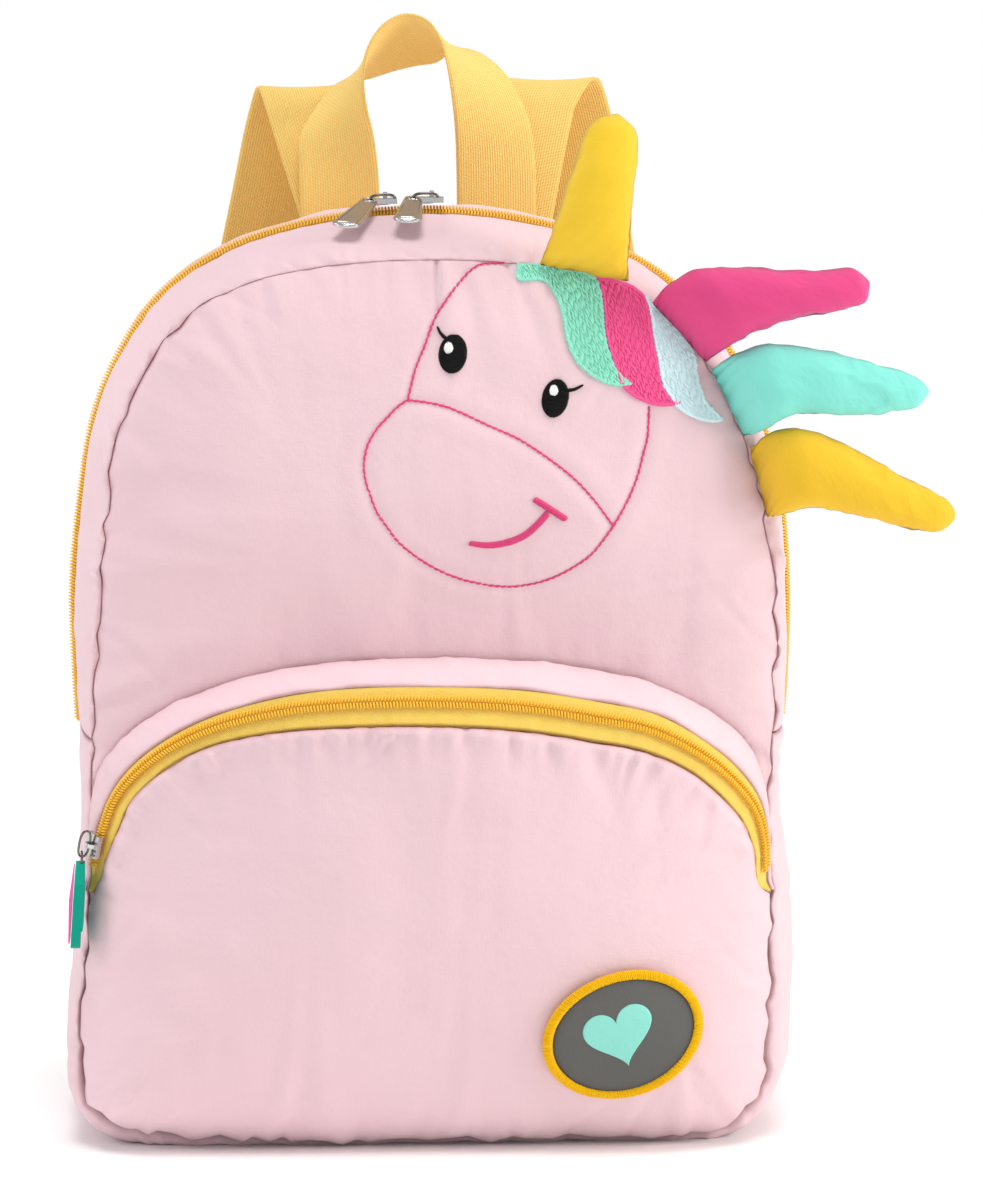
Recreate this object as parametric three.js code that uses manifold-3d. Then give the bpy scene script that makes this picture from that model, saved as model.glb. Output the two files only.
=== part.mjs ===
// Child's animal backpack: a soft padded shell with a unicorn's stuffed horn and mane sewn into its front seam,
// an arched front pocket, a webbing carrying handle and two webbing shoulder straps.
// Units are millimetres. The front faces -Y, +X is the right side seen from the front, +Z is up,
// and the origin is the middle of the flat bottom.
import * as THREE from "three";
import Module from "manifold-3d";

const wasm = await Module();
wasm.setup();

// ---------------------------------------------------------------- driving dimensions
const SEAM_FRONT_LOW = -47; // depth of the front seam at the bottom
const SEAM_FRONT_TOP = -40; // and at the top: the bag is a little thinner there
const SEAM_BACK_LOW = 50;
const SEAM_BACK_TOP = 46;
const SEAM_TOP_Z = 320; // height at which the two "top" depths hold
const PANEL_WALL = 3; // padded front, back and pocket panels
const BAND_WALL = 2.5; // padded side bands
const TAPE_WALL = 1.2; // zip tape
const WEBBING = 1.6; // handle and strap thickness
const WEBBING_WIDTH = 29;
const EDGE_GAP = 0.2; // each piece stops this far from the seam line
const FRONT_ROLL = { height: 6, length: 5 }; // quick rounding of the padding just inside the seam
const FRONT_CROWN = { height: 12, length: 45 }; // slow rounding towards the middle
const FRONT_SAG = { roll: 4.2, crown: 3, rise: 62 }; // the panel is pulled in where the pocket band is sewn on
const BACK_ROLL = { height: 4, length: 6 };
const BACK_CROWN = { height: 3, length: 40 };
const POCKET_ROLL = { height: 9, length: 6 };
const POCKET_CROWN = { height: 30, length: 50 };
const ZIP_ACROSS = 0.45; // where the main zip runs, as a share of the way from the front to the back seam
const ZIP_HALF_SLOT = 0.038;
const ZIP_HALF_TAPE = 0.0345;

// Front seam of the body, clockwise seen from the front and starting in the middle of the bottom.
// Columns: where, x, z, and how far the side band stands out beyond the seam there.
const SEAM = [
  ["bottom", -1.5, 1.6, 8],
  ["bottomL1", -67, 2.6, 8],
  ["bottomL2", -100, 5, 8],
  ["cornerL1", -118.5, 10, 8],
  ["cornerL2", -126.2, 20.5, 7],
  ["sideL1", -127.4, 40, 5.5],
  ["sideL2", -126, 69, 5],
  ["sideL3", -123.7, 109, 5],
  ["sideL4", -122.7, 139.5, 5.6],
  ["sideL5", -121.5, 167.5, 8.2],
  ["sideL6", -119.5, 200, 11.2],
  ["sideL7", -117, 232.5, 10.6],
  ["shoulderL1", -112, 262, 10],
  ["shoulderL2", -102.5, 283, 10.4],
  ["shoulderL3", -89.5, 300.2, 11],
  ["topL1", -68.5, 312.8, 13],
  ["topL2", -38, 319.6, 16],
  ["top", -2, 321.7, 17.6],
  ["topR1", 32, 320, 16],
  ["topR2", 61, 313.6, 13],
  ["shoulderR1", 82.5, 302.5, 11.4],
  ["shoulderR2", 101, 281, 11.4],
  ["shoulderR3", 112.5, 256.4, 11.4],
  ["sideR1", 119.8, 231, 10.4],
  ["sideR2", 123.6, 198.3, 9],
  ["sideR3", 123.6, 161.8, 8],
  ["sideR4", 121.8, 132.5, 7.6],
  ["sideR5", 121.6, 106.8, 8.6],
  ["sideR6", 122.4, 84.7, 10.4],
  ["sideR7", 122, 51.4, 11.6],
  ["cornerR1", 120.4, 26.2, 10],
  ["cornerR2", 114, 11.2, 9],
  ["cornerR3", 98, 4.4, 8],
  ["bottomR", 60.6, 2.2, 8],
].map(([where, x, z, swell]) => ({ where, x, z, swell }));

// Arch of the front pocket, from its left end over the top to its right end.
// Columns: the band's upper edge on the front panel, the upper edge of the zip tape, the lower edge of the tape,
// and how far the tape's upper edge stands forward, as a share of the way from the seam to its lower edge.
const ARCH = [
  ["endL", -124.2, 92, -124.0, 92, -121.6, 92, 0.5],
  ["riseL1", -123.9, 106, -123.9, 106, -119.0, 106, 0.34],
  ["riseL2", -123.1, 124, -121.3, 119.2, -114.2, 119.3, 0.36],
  ["riseL3", -121.4, 137.5, -117.4, 130.6, -109.6, 129.6, 0.46],
  ["shoulderL1", -115.4, 146.2, -109.6, 142, -102.0, 138.2, 0.6],
  ["shoulderL2", -104.5, 156.4, -96, 153.5, -91.1, 146.6, 0.74],
  ["archL1", -88, 165.4, -78.7, 162.6, -76.3, 153, 0.8],
  ["archL2", -62, 173.4, -54.2, 169.8, -54.0, 157.5, 0.82],
  ["archL3", -33.8, 177.6, -30.8, 172.9, -31.0, 159.2, 0.82],
  ["middle", -1.5, 179.2, 1.2, 173.5, 0.9, 159.5, 0.82],
  ["archR3", 30.8, 177.8, 31.5, 171.7, 31.2, 157.2, 0.82],
  ["archR2", 59.7, 174.1, 58.6, 167.0, 55.6, 152.8, 0.82],
  ["archR1", 82.6, 167.4, 79.1, 161.8, 74.0, 148.6, 0.8],
  ["shoulderR2", 101.5, 157.4, 97.7, 150.7, 91.0, 140.4, 0.74],
  ["shoulderR1", 114.2, 145.4, 110.3, 139.3, 102.8, 130.4, 0.6],
  ["riseR3", 119.7, 131.4, 118.6, 127.0, 111.6, 119.6, 0.46],
  ["riseR2", 120.9, 115.0, 121.6, 114.0, 115.8, 109.0, 0.36],
  ["riseR1", 121.4, 101, 121.4, 101, 117.2, 98.4, 0.34],
  ["endR", 121.8, 89.5, 121.6, 89.5, 119.4, 89.5, 0.5],
].map(([where, bandX, bandZ, topX, topZ, lowX, lowZ, lift]) => ({
  where,
  band: [bandX, bandZ],
  top: [topX, topZ],
  low: [lowX, lowZ],
  lift,
}));

// Stuffed horn and mane locks. Each row is a section: its two edge points seen from the front,
// how far in front of the seam its middle lies, and half its thickness.
const STUFFED = {
  horn: {
    colour: 0xe9bf2c,
    rows: [
      [41.0, 321.6, 67.6, 316.4, 2.4, 1.2],
      [41.6, 326.0, 69.0, 321.6, 5.4, 4.0],
      [43.3, 335.3, 70.1, 331.2, 8.6, 7.4],
      [46.1, 345.6, 71.1, 340.9, 9.6, 8.6],
      [49.3, 355.1, 72.1, 349.4, 9.8, 8.6],
      [52.9, 365.1, 73.2, 357.9, 9.6, 7.8],
      [55.7, 370.0, 73.2, 365.0, 9.4, 6.6],
      [59.2, 373.2, 71.7, 369.6, 9.2, 4.8],
      [63.2, 374.8, 68.5, 373.3, 9.2, 2.0],
    ],
  },
  mane_magenta: {
    colour: 0xc93e77,
    rows: [
      [80.4, 307.6, 99.4, 286.6, 2.4, 1.2],
      [83.0, 312.4, 102.6, 288.4, 5.6, 4.4],
      [88.4, 316.6, 107.6, 291.6, 8.6, 7.8],
      [96.4, 319.6, 113.8, 295.4, 9.8, 9.2],
      [107.6, 320.1, 123.8, 298.9, 10.0, 9.4],
      [122.6, 319.3, 136.3, 301.7, 10.0, 8.6],
      [138.0, 318.9, 148.2, 304.2, 9.8, 7.2],
      [150.5, 318.9, 155.3, 307.0, 9.6, 5.2],
      [155.2, 316.7, 157.1, 311.0, 9.6, 2.2],
    ],
  },
  mane_mint: {
    colour: 0x6fd0be,
    rows: [
      [101.9, 283.2, 114.0, 258.6, 2.4, 1.2],
      [105.4, 286.2, 117.2, 259.6, 5.6, 4.4],
      [110.6, 289.6, 121.4, 262.2, 8.8, 8.0],
      [120.3, 292.5, 127.6, 265.9, 10.0, 9.2],
      [134.6, 291.0, 140.2, 266.5, 10.0, 9.0],
      [149.0, 287.7, 152.8, 266.1, 9.8, 7.8],
      [163.5, 283.7, 164.7, 266.8, 9.6, 6.2],
      [174.3, 279.3, 174.0, 269.2, 9.4, 4.2],
      [178.3, 276.8, 177.6, 272.1, 9.4, 2.0],
    ],
  },
  mane_yellow: {
    colour: 0xe8b71f,
    rows: [
      [115.6, 254.6, 122.2, 229.6, 2.4, 1.2],
      [118.6, 258.0, 124.2, 229.4, 5.6, 4.4],
      [124.1, 261.2, 128.4, 230.9, 8.8, 8.0],
      [133.1, 261.9, 135.8, 232.3, 10.0, 9.2],
      [143.9, 257.9, 145.2, 231.5, 10.0, 8.8],
      [156.6, 251.7, 156.1, 228.5, 9.8, 7.8],
      [169.3, 244.4, 167.6, 225.5, 9.6, 6.2],
      [182.0, 237.4, 179.6, 223.7, 9.4, 4.2],
      [188.2, 233.4, 187.5, 225.8, 9.4, 2.0],
    ],
  },
};

// Carrying handle: the webbing's inner and outer edge, from the left leg over the top to the right leg.
// Columns: inner x, y, z, outer x, y, z.
const HANDLE = [
  [-15.9, 48.6, 322.5, -45.4, 48.6, 322.5],
  [-15.9, 48.4, 334, -45.5, 48.8, 334],
  [-16.4, 47.2, 348, -45.8, 50.2, 348],
  [-18.2, 43.4, 361.5, -45.4, 52.6, 360.5],
  [-20.9, 38.8, 373, -41.0, 57.2, 368.6],
  [-22.0, 35.2, 384, -31.2, 60.8, 377.2],
  [-20.2, 35.0, 394.6, -18.6, 61.0, 381.8],
  [-14.8, 36.4, 402.8, -9.6, 59.6, 384.6],
  [-6.6, 37.4, 406.6, -1.6, 58.6, 386.6],
  [1.4, 36.4, 404.4, 5.8, 59.6, 387.8],
  [6.4, 34.8, 397, 13.4, 61.2, 388.0],
  [8.8, 35.2, 387.6, 23.4, 60.6, 385.6],
  [10.8, 38.8, 375.4, 33.4, 57.2, 377.6],
  [12.2, 43.4, 362, 40.4, 52.6, 365.4],
  [12.8, 47.2, 348, 42.4, 50.2, 350],
  [13.0, 48.4, 334, 42.7, 48.8, 334],
  [13.0, 48.6, 322.5, 42.8, 48.6, 322.5],
];

// Shoulder straps: centre line x, y, z and the slope (degrees) of the webbing's width in the X-Z plane.
// Each strap rises behind the handle, folds over and comes down behind the back panel to its lower corner.
const STRAPS = {
  strap_left: [
    [-28.6, 51.6, 321, 17],
    [-31.2, 52, 333, 17],
    [-36.6, 55.7, 350.4, 17],
    [-41.4, 59.8, 365.8, 17],
    [-43.8, 62.8, 375, 16],
    [-45.6, 67.6, 379.4, 3],
    [-47.4, 73.0, 375.8, -12],
    [-51.0, 76.6, 361.6, -12],
    [-56.6, 80.6, 334.4, -10],
    [-66.0, 84.0, 290, -9],
    [-76.0, 87.0, 240, -8],
    [-84.0, 87.0, 190, -7],
    [-90.5, 84.0, 140, -6],
    [-95.5, 78.0, 95, -5],
    [-99.0, 69.0, 60, -5],
    [-101.4, 60.4, 36, -5],
    [-102.6, 56.6, 22, -5],
  ],
  strap_right: [
    [33.0, 51.6, 321, -11],
    [35.0, 52, 333, -11],
    [38.4, 54.8, 350.4, -11],
    [42.0, 58.8, 366.8, -11],
    [44.6, 62.8, 377.2, -11],
    [49.4, 67.8, 381.6, 0],
    [54.2, 73.0, 377.8, 12],
    [58.6, 76.6, 363.6, 12],
    [64.2, 80.6, 335.4, 10],
    [71.0, 84.0, 290, 8],
    [79.0, 87.0, 240, 7],
    [86.0, 87.0, 190, 6],
    [91.0, 84.0, 140, 5],
    [94.6, 78.0, 95, 4],
    [97.0, 69.0, 60, 4],
    [98.6, 60.4, 36, 4],
    [99.4, 56.6, 22, 4],
  ],
};

const PATCH = { x: 66.4, z: 46.2, half: [25.6, 20.4], tilt: 17, wall: 1.1, border: 3.0 };

// Zip pulls. Main: hole end and tip of the tab, and the slider's place along the zip as an x coordinate.
const MAIN_PULLS = {
  a: { slider: -14.6, tip: [-31.4, -32, 333.3] },
  b: { slider: 1.2, tip: [-8.6, -31, 335.0] },
};
const SLIDER = { length: 8.4, inside: 2.9, roof: 1.5, plate: 0.8, bridge: 1.5 };
const RING = { halfLong: 4.5, halfHigh: 1.9, wire: 1.0, back: 1.6, lean: 28 };
const TAB = { narrow: 6.4, wide: 10.4, wall: 0.9, hole: 1.75 };
// The moulded puller hangs edge-on beside the bag. Columns: height, left face, right face of its edge view.
const PULLER = {
  width: 14, rows: [
    [106.8, -128.9, -125.6],
    [94.2, -129.9, -125.9],
    [83.2, -130.6, -126.5],
    [82.2, -130.7, -127.4],
    [76.0, -131.1, -127.6],
  ],
  layer: [[105.6, 0.4], [94.2, 1.2], [78.4, 0.6]],
};

// ---------------------------------------------------------------- small helpers
const group = new THREE.Group();
const clamp = (v, a, b) => Math.min(b, Math.max(a, v));
const mix = (a, b, t) => a + (b - a) * t;
const smooth = (a, b, v) => {
  const t = clamp((v - a) / (b - a), 0, 1);
  return t * t * (3 - 2 * t);
};
const V = (x, y, z) => new THREE.Vector3(x, y, z);

function volumeOf(points, tris) {
  let v = 0;
  for (const [a, b, c] of tris)
    v += points[a].dot(new THREE.Vector3().crossVectors(points[b], points[c])) / 6;
  return v;
}

// A named mesh from points and triangles, turned to face outwards.
function addPiece(name, points, tris, colour, roughness = 0.85, metalness = 0) {
  const out = volumeOf(points, tris) < 0 ? tris.map(([a, b, c]) => [a, c, b]) : tris;
  const geometry = new THREE.BufferGeometry();
  geometry.setAttribute(
    "position",
    new THREE.Float32BufferAttribute(points.flatMap((p) => [p.x, p.y, p.z]), 3),
  );
  geometry.setIndex(out.flat());
  geometry.computeVertexNormals();
  return addGeometry(name, geometry, colour, roughness, metalness);
}

function addGeometry(name, geometry, colour, roughness = 0.85, metalness = 0) {
  const mesh = new THREE.Mesh(
    geometry,
    new THREE.MeshStandardMaterial({ color: colour, roughness, metalness }),
  );
  mesh.name = name;
  group.add(mesh);
  return mesh;
}

function splitQuad(points, [a, b, c, d]) {
  return points[a].distanceTo(points[c]) <= points[b].distanceTo(points[d])
    ? [[a, b, c], [a, c, d]]
    : [[a, b, d], [b, c, d]];
}

// Closes an open sheet into a wall: its outer faces, its inner faces and a rim along every free edge.
function wall(outer, inner, quads) {
  const n = outer.length;
  const points = [...outer, ...inner];
  const tris = [];
  const used = new Map();
  for (const q of quads) {
    for (const t of splitQuad(points, q)) {
      tris.push(t, [t[0] + n, t[2] + n, t[1] + n]);
      for (let k = 0; k < 3; k++) {
        const a = t[k], b = t[(k + 1) % 3];
        if (used.has(b + "," + a)) used.delete(b + "," + a);
        else used.set(a + "," + b, [a, b]);
      }
    }
  }
  for (const [a, b] of used.values()) tris.push([b, a, a + n], [b, a + n, b + n]);
  return { points, tris };
}

function addWall(name, outer, inner, quads, colour, roughness) {
  const { points, tris } = wall(outer, inner, quads);
  return addPiece(name, points, tris, colour, roughness);
}

// Rows of points across a strip, with the same count in each row.
function addStrip(name, outerRows, innerRows, colour, roughness) {
  const m = outerRows[0].length;
  const quads = [];
  for (let i = 0; i + 1 < outerRows.length; i++)
    for (let j = 0; j + 1 < m; j++)
      quads.push([i * m + j, (i + 1) * m + j, (i + 1) * m + j + 1, i * m + j + 1]);
  return addWall(name, outerRows.flat(), innerRows.flat(), quads, colour, roughness);
}

// Closed sections joined into one body. "ring" joins the last to the first, otherwise both ends are capped.
function loftSections(sections, ring = false) {
  const m = sections[0].length;
  const points = sections.flat();
  const tris = [];
  const last = ring ? sections.length : sections.length - 1;
  for (let i = 0; i < last; i++)
    for (let j = 0; j < m; j++) {
      const k = (i + 1) % sections.length, l = (j + 1) % m;
      tris.push([i * m + j, k * m + j, k * m + l], [i * m + j, k * m + l, i * m + l]);
    }
  if (!ring)
    for (const [i, turn] of [[0, false], [sections.length - 1, true]]) {
      const middle = sections[i].reduce((s, p) => s.add(p), V(0, 0, 0)).divideScalar(m);
      points.push(middle);
      for (let j = 0; j < m; j++) {
        const a = i * m + j, b = i * m + ((j + 1) % m), c = points.length - 1;
        tris.push(turn ? [b, a, c] : [a, b, c]);
      }
    }
  return { points, tris };
}

// An ellipse round a centre, with half axes along two directions.
const ellipse = (centre, along, across, a, b, count) =>
  Array.from({ length: count }, (_, i) => {
    const w = (2 * Math.PI * (i + 0.5)) / count;
    return centre.clone().addScaledVector(along, a * Math.cos(w)).addScaledVector(across, b * Math.sin(w));
  });

// ---------------------------------------------------------------- the front seam as a curve
const STEPS = 20; // fine points for each row of the table
const seamCurve = new THREE.CatmullRomCurve3(
  SEAM.map((r) => V(r.x, r.swell, r.z)),
  true,
  "centripetal",
);
const FINE = SEAM.length * STEPS;
const fine = Array.from({ length: FINE }, (_, i) => {
  const p = seamCurve.getPoint(i / FINE);
  return { x: p.x, z: p.z, swell: p.y };
});
fine.forEach((p, i) => {
  let nx = 0, nz = 0;
  for (let k = -8; k <= 8; k++) {
    const a = fine[(i + k - 1 + FINE) % FINE], b = fine[(i + k + 1 + FINE) % FINE];
    const l = Math.hypot(b.x - a.x, b.z - a.z);
    nx -= (b.z - a.z) / l;
    nz += (b.x - a.x) / l;
  }
  const l = Math.hypot(nx, nz);
  p.nx = nx / l;
  p.nz = nz / l;
});
fine.forEach((p, i) => {
  const q = fine[(i + 1) % FINE];
  const step = Math.hypot(q.x - p.x, q.z - p.z);
  const turn = Math.hypot(q.nx - p.nx, q.nz - p.nz);
  p.weight = step + 24 * turn; // more points where the seam turns
});

const seamFront = (z) => mix(SEAM_FRONT_LOW, SEAM_FRONT_TOP, z / SEAM_TOP_Z);
const seamBack = (z) => mix(SEAM_BACK_LOW, SEAM_BACK_TOP, z / SEAM_TOP_Z);

// Distance from a point of the front view to the seam.
function seamDistance(x, z) {
  let best = Infinity;
  for (let i = 0; i < FINE; i += 2) {
    const a = fine[i], b = fine[(i + 2) % FINE];
    const dx = b.x - a.x, dz = b.z - a.z;
    const t = clamp(((x - a.x) * dx + (z - a.z) * dz) / (dx * dx + dz * dz), 0, 1);
    const d = Math.hypot(x - a.x - t * dx, z - a.z - t * dz);
    if (d < best) best = d;
  }
  return best;
}

// Stations on the seam between two rows of the table (fractions allowed), evenly weighted.
function seamStations(rowA, rowB, count) {
  const a = Math.round(rowA * STEPS), b = Math.round(rowB * STEPS);
  const sums = [0];
  for (let i = a; i < b; i++) sums.push(sums[i - a] + fine[i % FINE].weight);
  const out = [];
  for (let k = 0, i = 0; k <= count; k++) {
    const want = (sums[b - a] * k) / count;
    while (i < b - a && sums[i] < want - 1e-9) i++;
    out.push(fine[(a + i) % FINE]);
  }
  return out;
}

const ROW = { cornerL: 3.5, bandEndL: 8.35, shoulderL: 14, shoulderR: 20.35, bandEndR: 25.4, cornerR: 31 };
const sideL = [...seamStations(ROW.cornerL, ROW.bandEndL, 8), ...seamStations(ROW.bandEndL, ROW.shoulderL, 9).slice(1)];
const topSide = seamStations(ROW.shoulderL, ROW.shoulderR, 11);
const sideR = [...seamStations(ROW.shoulderR, ROW.bandEndR, 9), ...seamStations(ROW.bandEndR, ROW.cornerR, 8).slice(1)];
const bottomSide = seamStations(ROW.cornerR, ROW.cornerL + SEAM.length, 11);
const seamLoop = [...sideL.slice(0, -1), ...topSide.slice(0, -1), ...sideR.slice(0, -1), ...bottomSide.slice(0, -1)];

// ---------------------------------------------------------------- panels
const puff = (d, roll, crown) =>
  roll.height * (1 - Math.exp(-d / roll.length)) + crown.height * (1 - Math.exp(-d / crown.length));

// Height of the line where the pocket band is sewn on the front panel.
function bandLine(x) {
  const rows = ARCH.map((r) => r.band);
  if (x <= rows[0][0]) return rows[0][1];
  for (let i = 0; i + 1 < rows.length; i++)
    if (x <= rows[i + 1][0])
      return mix(rows[i][1], rows[i + 1][1], (x - rows[i][0]) / (rows[i + 1][0] - rows[i][0]));
  return rows[rows.length - 1][1];
}

function frontDepth(x, z) {
  const d = seamDistance(x, z);
  const full = puff(d, FRONT_ROLL, FRONT_CROWN);
  const low = puff(d, { height: FRONT_SAG.roll, length: FRONT_ROLL.length }, { height: FRONT_SAG.crown, length: FRONT_CROWN.length });
  return seamFront(z) - mix(low, full, smooth(0, FRONT_SAG.rise, z - bandLine(x)));
}
const backDepth = (x, z) => seamBack(z) + puff(seamDistance(x, z), BACK_ROLL, BACK_CROWN);
const pocketDepth = (x, z) =>
  seamFront(z) - PANEL_WALL - 0.3 -
  puff(seamDistance(x, z), POCKET_ROLL, { height: POCKET_CROWN.height * mix(1.06, 0.97, clamp(z / 160, 0, 1)), length: POCKET_CROWN.length });

// A panel over a four-sided loop of the front view: a rim, a ring just inside it, and a grid spanned between the sides.
// "insets" is how far in the ring lies at each loop point, "sign" is the side on which the wall's inner face lies.
function panelPiece(name, loop, sides, insets, inward, rimOuter, rimInner, depth, sign, colour) {
  const [nv, nu] = sides;
  const n = loop.length;
  const ring = loop.map((p, i) => [p[0] + inward[i][0] * insets[i], p[1] + inward[i][1] * insets[i]]);
  const at = (i) => ring[((i % n) + n) % n];
  const left = Array.from({ length: nv + 1 }, (_, j) => at(j));
  const top = Array.from({ length: nu + 1 }, (_, i) => at(nv + i));
  const right = Array.from({ length: nv + 1 }, (_, j) => at(2 * nv + nu - j));
  const bottom = Array.from({ length: nu + 1 }, (_, i) => at(2 * nv + 2 * nu - i));
  const share = (line) => {
    const s = [0];
    for (let i = 1; i < line.length; i++)
      s.push(s[i - 1] + Math.hypot(line[i][0] - line[i - 1][0], line[i][1] - line[i - 1][1]));
    return s.map((v) => v / s[s.length - 1]);
  };
  const sl = share(left), sr = share(right), st = share(top), sb = share(bottom);
  const outer = [], inner = [];
  const id = (i, j) => n + i * (nv + 1) + j;
  rimOuter.forEach((p) => outer.push(p));
  rimInner.forEach((p) => inner.push(p));
  for (let i = 0; i <= nu; i++)
    for (let j = 0; j <= nv; j++) {
      const v0 = (sl[j] + sr[j]) / 2, u0 = (sb[i] + st[i]) / 2;
      const u = mix(sb[i], st[i], v0), v = mix(sl[j], sr[j], u0);
      const q = [0, 1].map(
        (k) =>
          (1 - v) * bottom[i][k] + v * top[i][k] + (1 - u) * left[j][k] + u * right[j][k] -
          ((1 - u) * (1 - v) * bottom[0][k] + u * (1 - v) * bottom[nu][k] + (1 - u) * v * top[0][k] + u * v * top[nu][k]),
      );
      const [x, z] = i === 0 ? left[j] : i === nu ? right[j] : j === 0 ? bottom[i] : j === nv ? top[i] : q;
      const y = depth(x, z);
      outer.push(V(x, y, z));
      inner.push(V(x, y + sign * PANEL_WALL, z));
    }
  const quads = [];
  for (let i = 0; i < nu; i++)
    for (let j = 0; j < nv; j++) quads.push([id(i, j), id(i + 1, j), id(i + 1, j + 1), id(i, j + 1)]);
  const ringId = (k) => {
    k = ((k % n) + n) % n;
    if (k <= nv) return id(0, k);
    if (k <= nv + nu) return id(k - nv, nv);
    if (k <= 2 * nv + nu) return id(nu, 2 * nv + nu - k);
    return id(2 * nv + 2 * nu - k, 0);
  };
  for (let k = 0; k < n; k++) quads.push([k, ringId(k), ringId(k + 1), (k + 1) % n]);
  addWall(name, outer, inner, quads, colour);
  return { outer, quads };
}

// Depth of the faceted outer face of a panel at a point of the front view.
function facetDepth(panel, x, z) {
  for (const q of panel.quads)
    for (const [a, b, c] of splitQuad(panel.outer, q)) {
      const A = panel.outer[a], B = panel.outer[b], C = panel.outer[c];
      const det = (B.x - A.x) * (C.z - A.z) - (C.x - A.x) * (B.z - A.z);
      if (Math.abs(det) < 1e-9) continue;
      const u = ((x - A.x) * (C.z - A.z) - (C.x - A.x) * (z - A.z)) / det;
      const v = ((B.x - A.x) * (z - A.z) - (x - A.x) * (B.z - A.z)) / det;
      if (u >= -1e-6 && v >= -1e-6 && u + v <= 1 + 1e-6) return A.y + u * (B.y - A.y) + v * (C.y - A.y);
    }
  return null;
}

const PINK = 0xf2ccd2;
const YELLOW = 0xf7cf63;
const METAL = 0xb9b9bd;

const loop2 = seamLoop.map((p) => [p.x, p.z]);
const inward2 = seamLoop.map((p) => [-p.nx, -p.nz]);
const rimAt = (p, y, back) => V(p.x - p.nx * (EDGE_GAP + back), y, p.z - p.nz * (EDGE_GAP + back));
const frontPanel = panelPiece(
  "front_panel", loop2, [17, 11], seamLoop.map(() => 6), inward2,
  seamLoop.map((p) => rimAt(p, seamFront(p.z), 0)),
  seamLoop.map((p) => rimAt(p, seamFront(p.z) + PANEL_WALL, BAND_WALL)),
  frontDepth, 1, PINK,
);
panelPiece(
  "back_panel", loop2, [17, 11], seamLoop.map(() => 6), inward2,
  seamLoop.map((p) => rimAt(p, seamBack(p.z), 0)),
  seamLoop.map((p) => rimAt(p, seamBack(p.z) - PANEL_WALL, BAND_WALL)),
  backDepth, -1, PINK,
);

// ---------------------------------------------------------------- side bands, zip and bottom
// Section of the band at a seam station: distance along Y and outwards, for a share w of the way back.
function bandProfile(p, w) {
  const power = mix(2.2, 4, clamp((70 - p.z) / 60, 0, 1));
  const floor = p.nz < -1e-3 ? p.z / -p.nz : Infinity; // it is flat where it stands on the ground
  const rise = p.swell * Math.pow(1 - Math.pow(Math.abs(2 * w - 1), power), 1 / power);
  return { y: mix(seamFront(p.z), seamBack(p.z), w), out: Math.min(rise, floor), flat: rise >= floor };
}
const place = (p, y, out, flat = false) => V(p.x + p.nx * out, y, flat ? 0 : Math.max(0, p.z + p.nz * out));
function bandPoint(p, w, deep = 0) {
  const a = bandProfile(p, clamp(w - 0.004, 0, 1)), b = bandProfile(p, clamp(w + 0.004, 0, 1)), c = bandProfile(p, w);
  const l = Math.hypot(b.y - a.y, b.out - a.out);
  const ny = (b.out - a.out) / l, no = -(b.y - a.y) / l;
  return place(p, c.y + ny * deep, c.out + no * deep, c.flat && deep === 0);
}
function bandRow(p, shares) {
  const outer = [], inner = [];
  for (const w of shares) {
    if (w === 0) {
      const y = seamFront(p.z) + EDGE_GAP;
      outer.push(place(p, y, 0));
      inner.push(place(p, y + PANEL_WALL, -BAND_WALL));
    } else if (w === 1) {
      const y = seamBack(p.z) - EDGE_GAP;
      outer.push(place(p, y, 0));
      inner.push(place(p, y - PANEL_WALL, -BAND_WALL));
    } else {
      outer.push(bandPoint(p, w));
      inner.push(bandPoint(p, w, BAND_WALL));
    }
  }
  return { outer, inner };
}
function bandPiece(name, stations, shares, colour) {
  const rows = stations.map((p) => bandRow(p, shares));
  addStrip(name, rows.map((r) => r.outer), rows.map((r) => r.inner), colour);
  return rows;
}
// Pulls the first and last rows of a strip a little way in along it.
function trimEnds(rows, gap) {
  const pull = (a, b) =>
    ["outer", "inner"].forEach((k) =>
      a[k].forEach((p, i) => p.lerp(b[k][i], gap / p.distanceTo(b[k][i]))),
    );
  pull(rows[0], rows[1]);
  pull(rows[rows.length - 1], rows[rows.length - 2]);
  return rows;
}

const archStations = [
  ...seamStations(ROW.bandEndL, ROW.shoulderL, 9).slice(0, -1),
  ...topSide.slice(0, -1),
  ...seamStations(ROW.shoulderR, ROW.bandEndR, 9),
];
const slotFront = ZIP_ACROSS - ZIP_HALF_SLOT, slotBack = ZIP_ACROSS + ZIP_HALF_SLOT;
bandPiece("gusset_front", archStations, [0, 0.012, 0.05, 0.13, 0.26, slotFront], PINK);
bandPiece("gusset_rear", archStations, [slotBack, 0.64, 0.8, 0.92, 0.985, 1], PINK);

const lowerStations = [
  ...seamStations(ROW.bandEndR, ROW.cornerR, 8).slice(0, -1),
  ...bottomSide.slice(0, -1),
  ...seamStations(ROW.cornerL, ROW.bandEndL, 8),
];
{
  const shares = [0, 0.015, 0.06, 0.16, 0.34, 0.55, 0.76, 0.9, 0.97, 1];
  const rows = trimEnds(lowerStations.map((p) => bandRow(p, shares)), 0.4);
  addStrip("gusset_lower", rows.map((r) => r.outer), rows.map((r) => r.inner), PINK);
}

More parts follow.
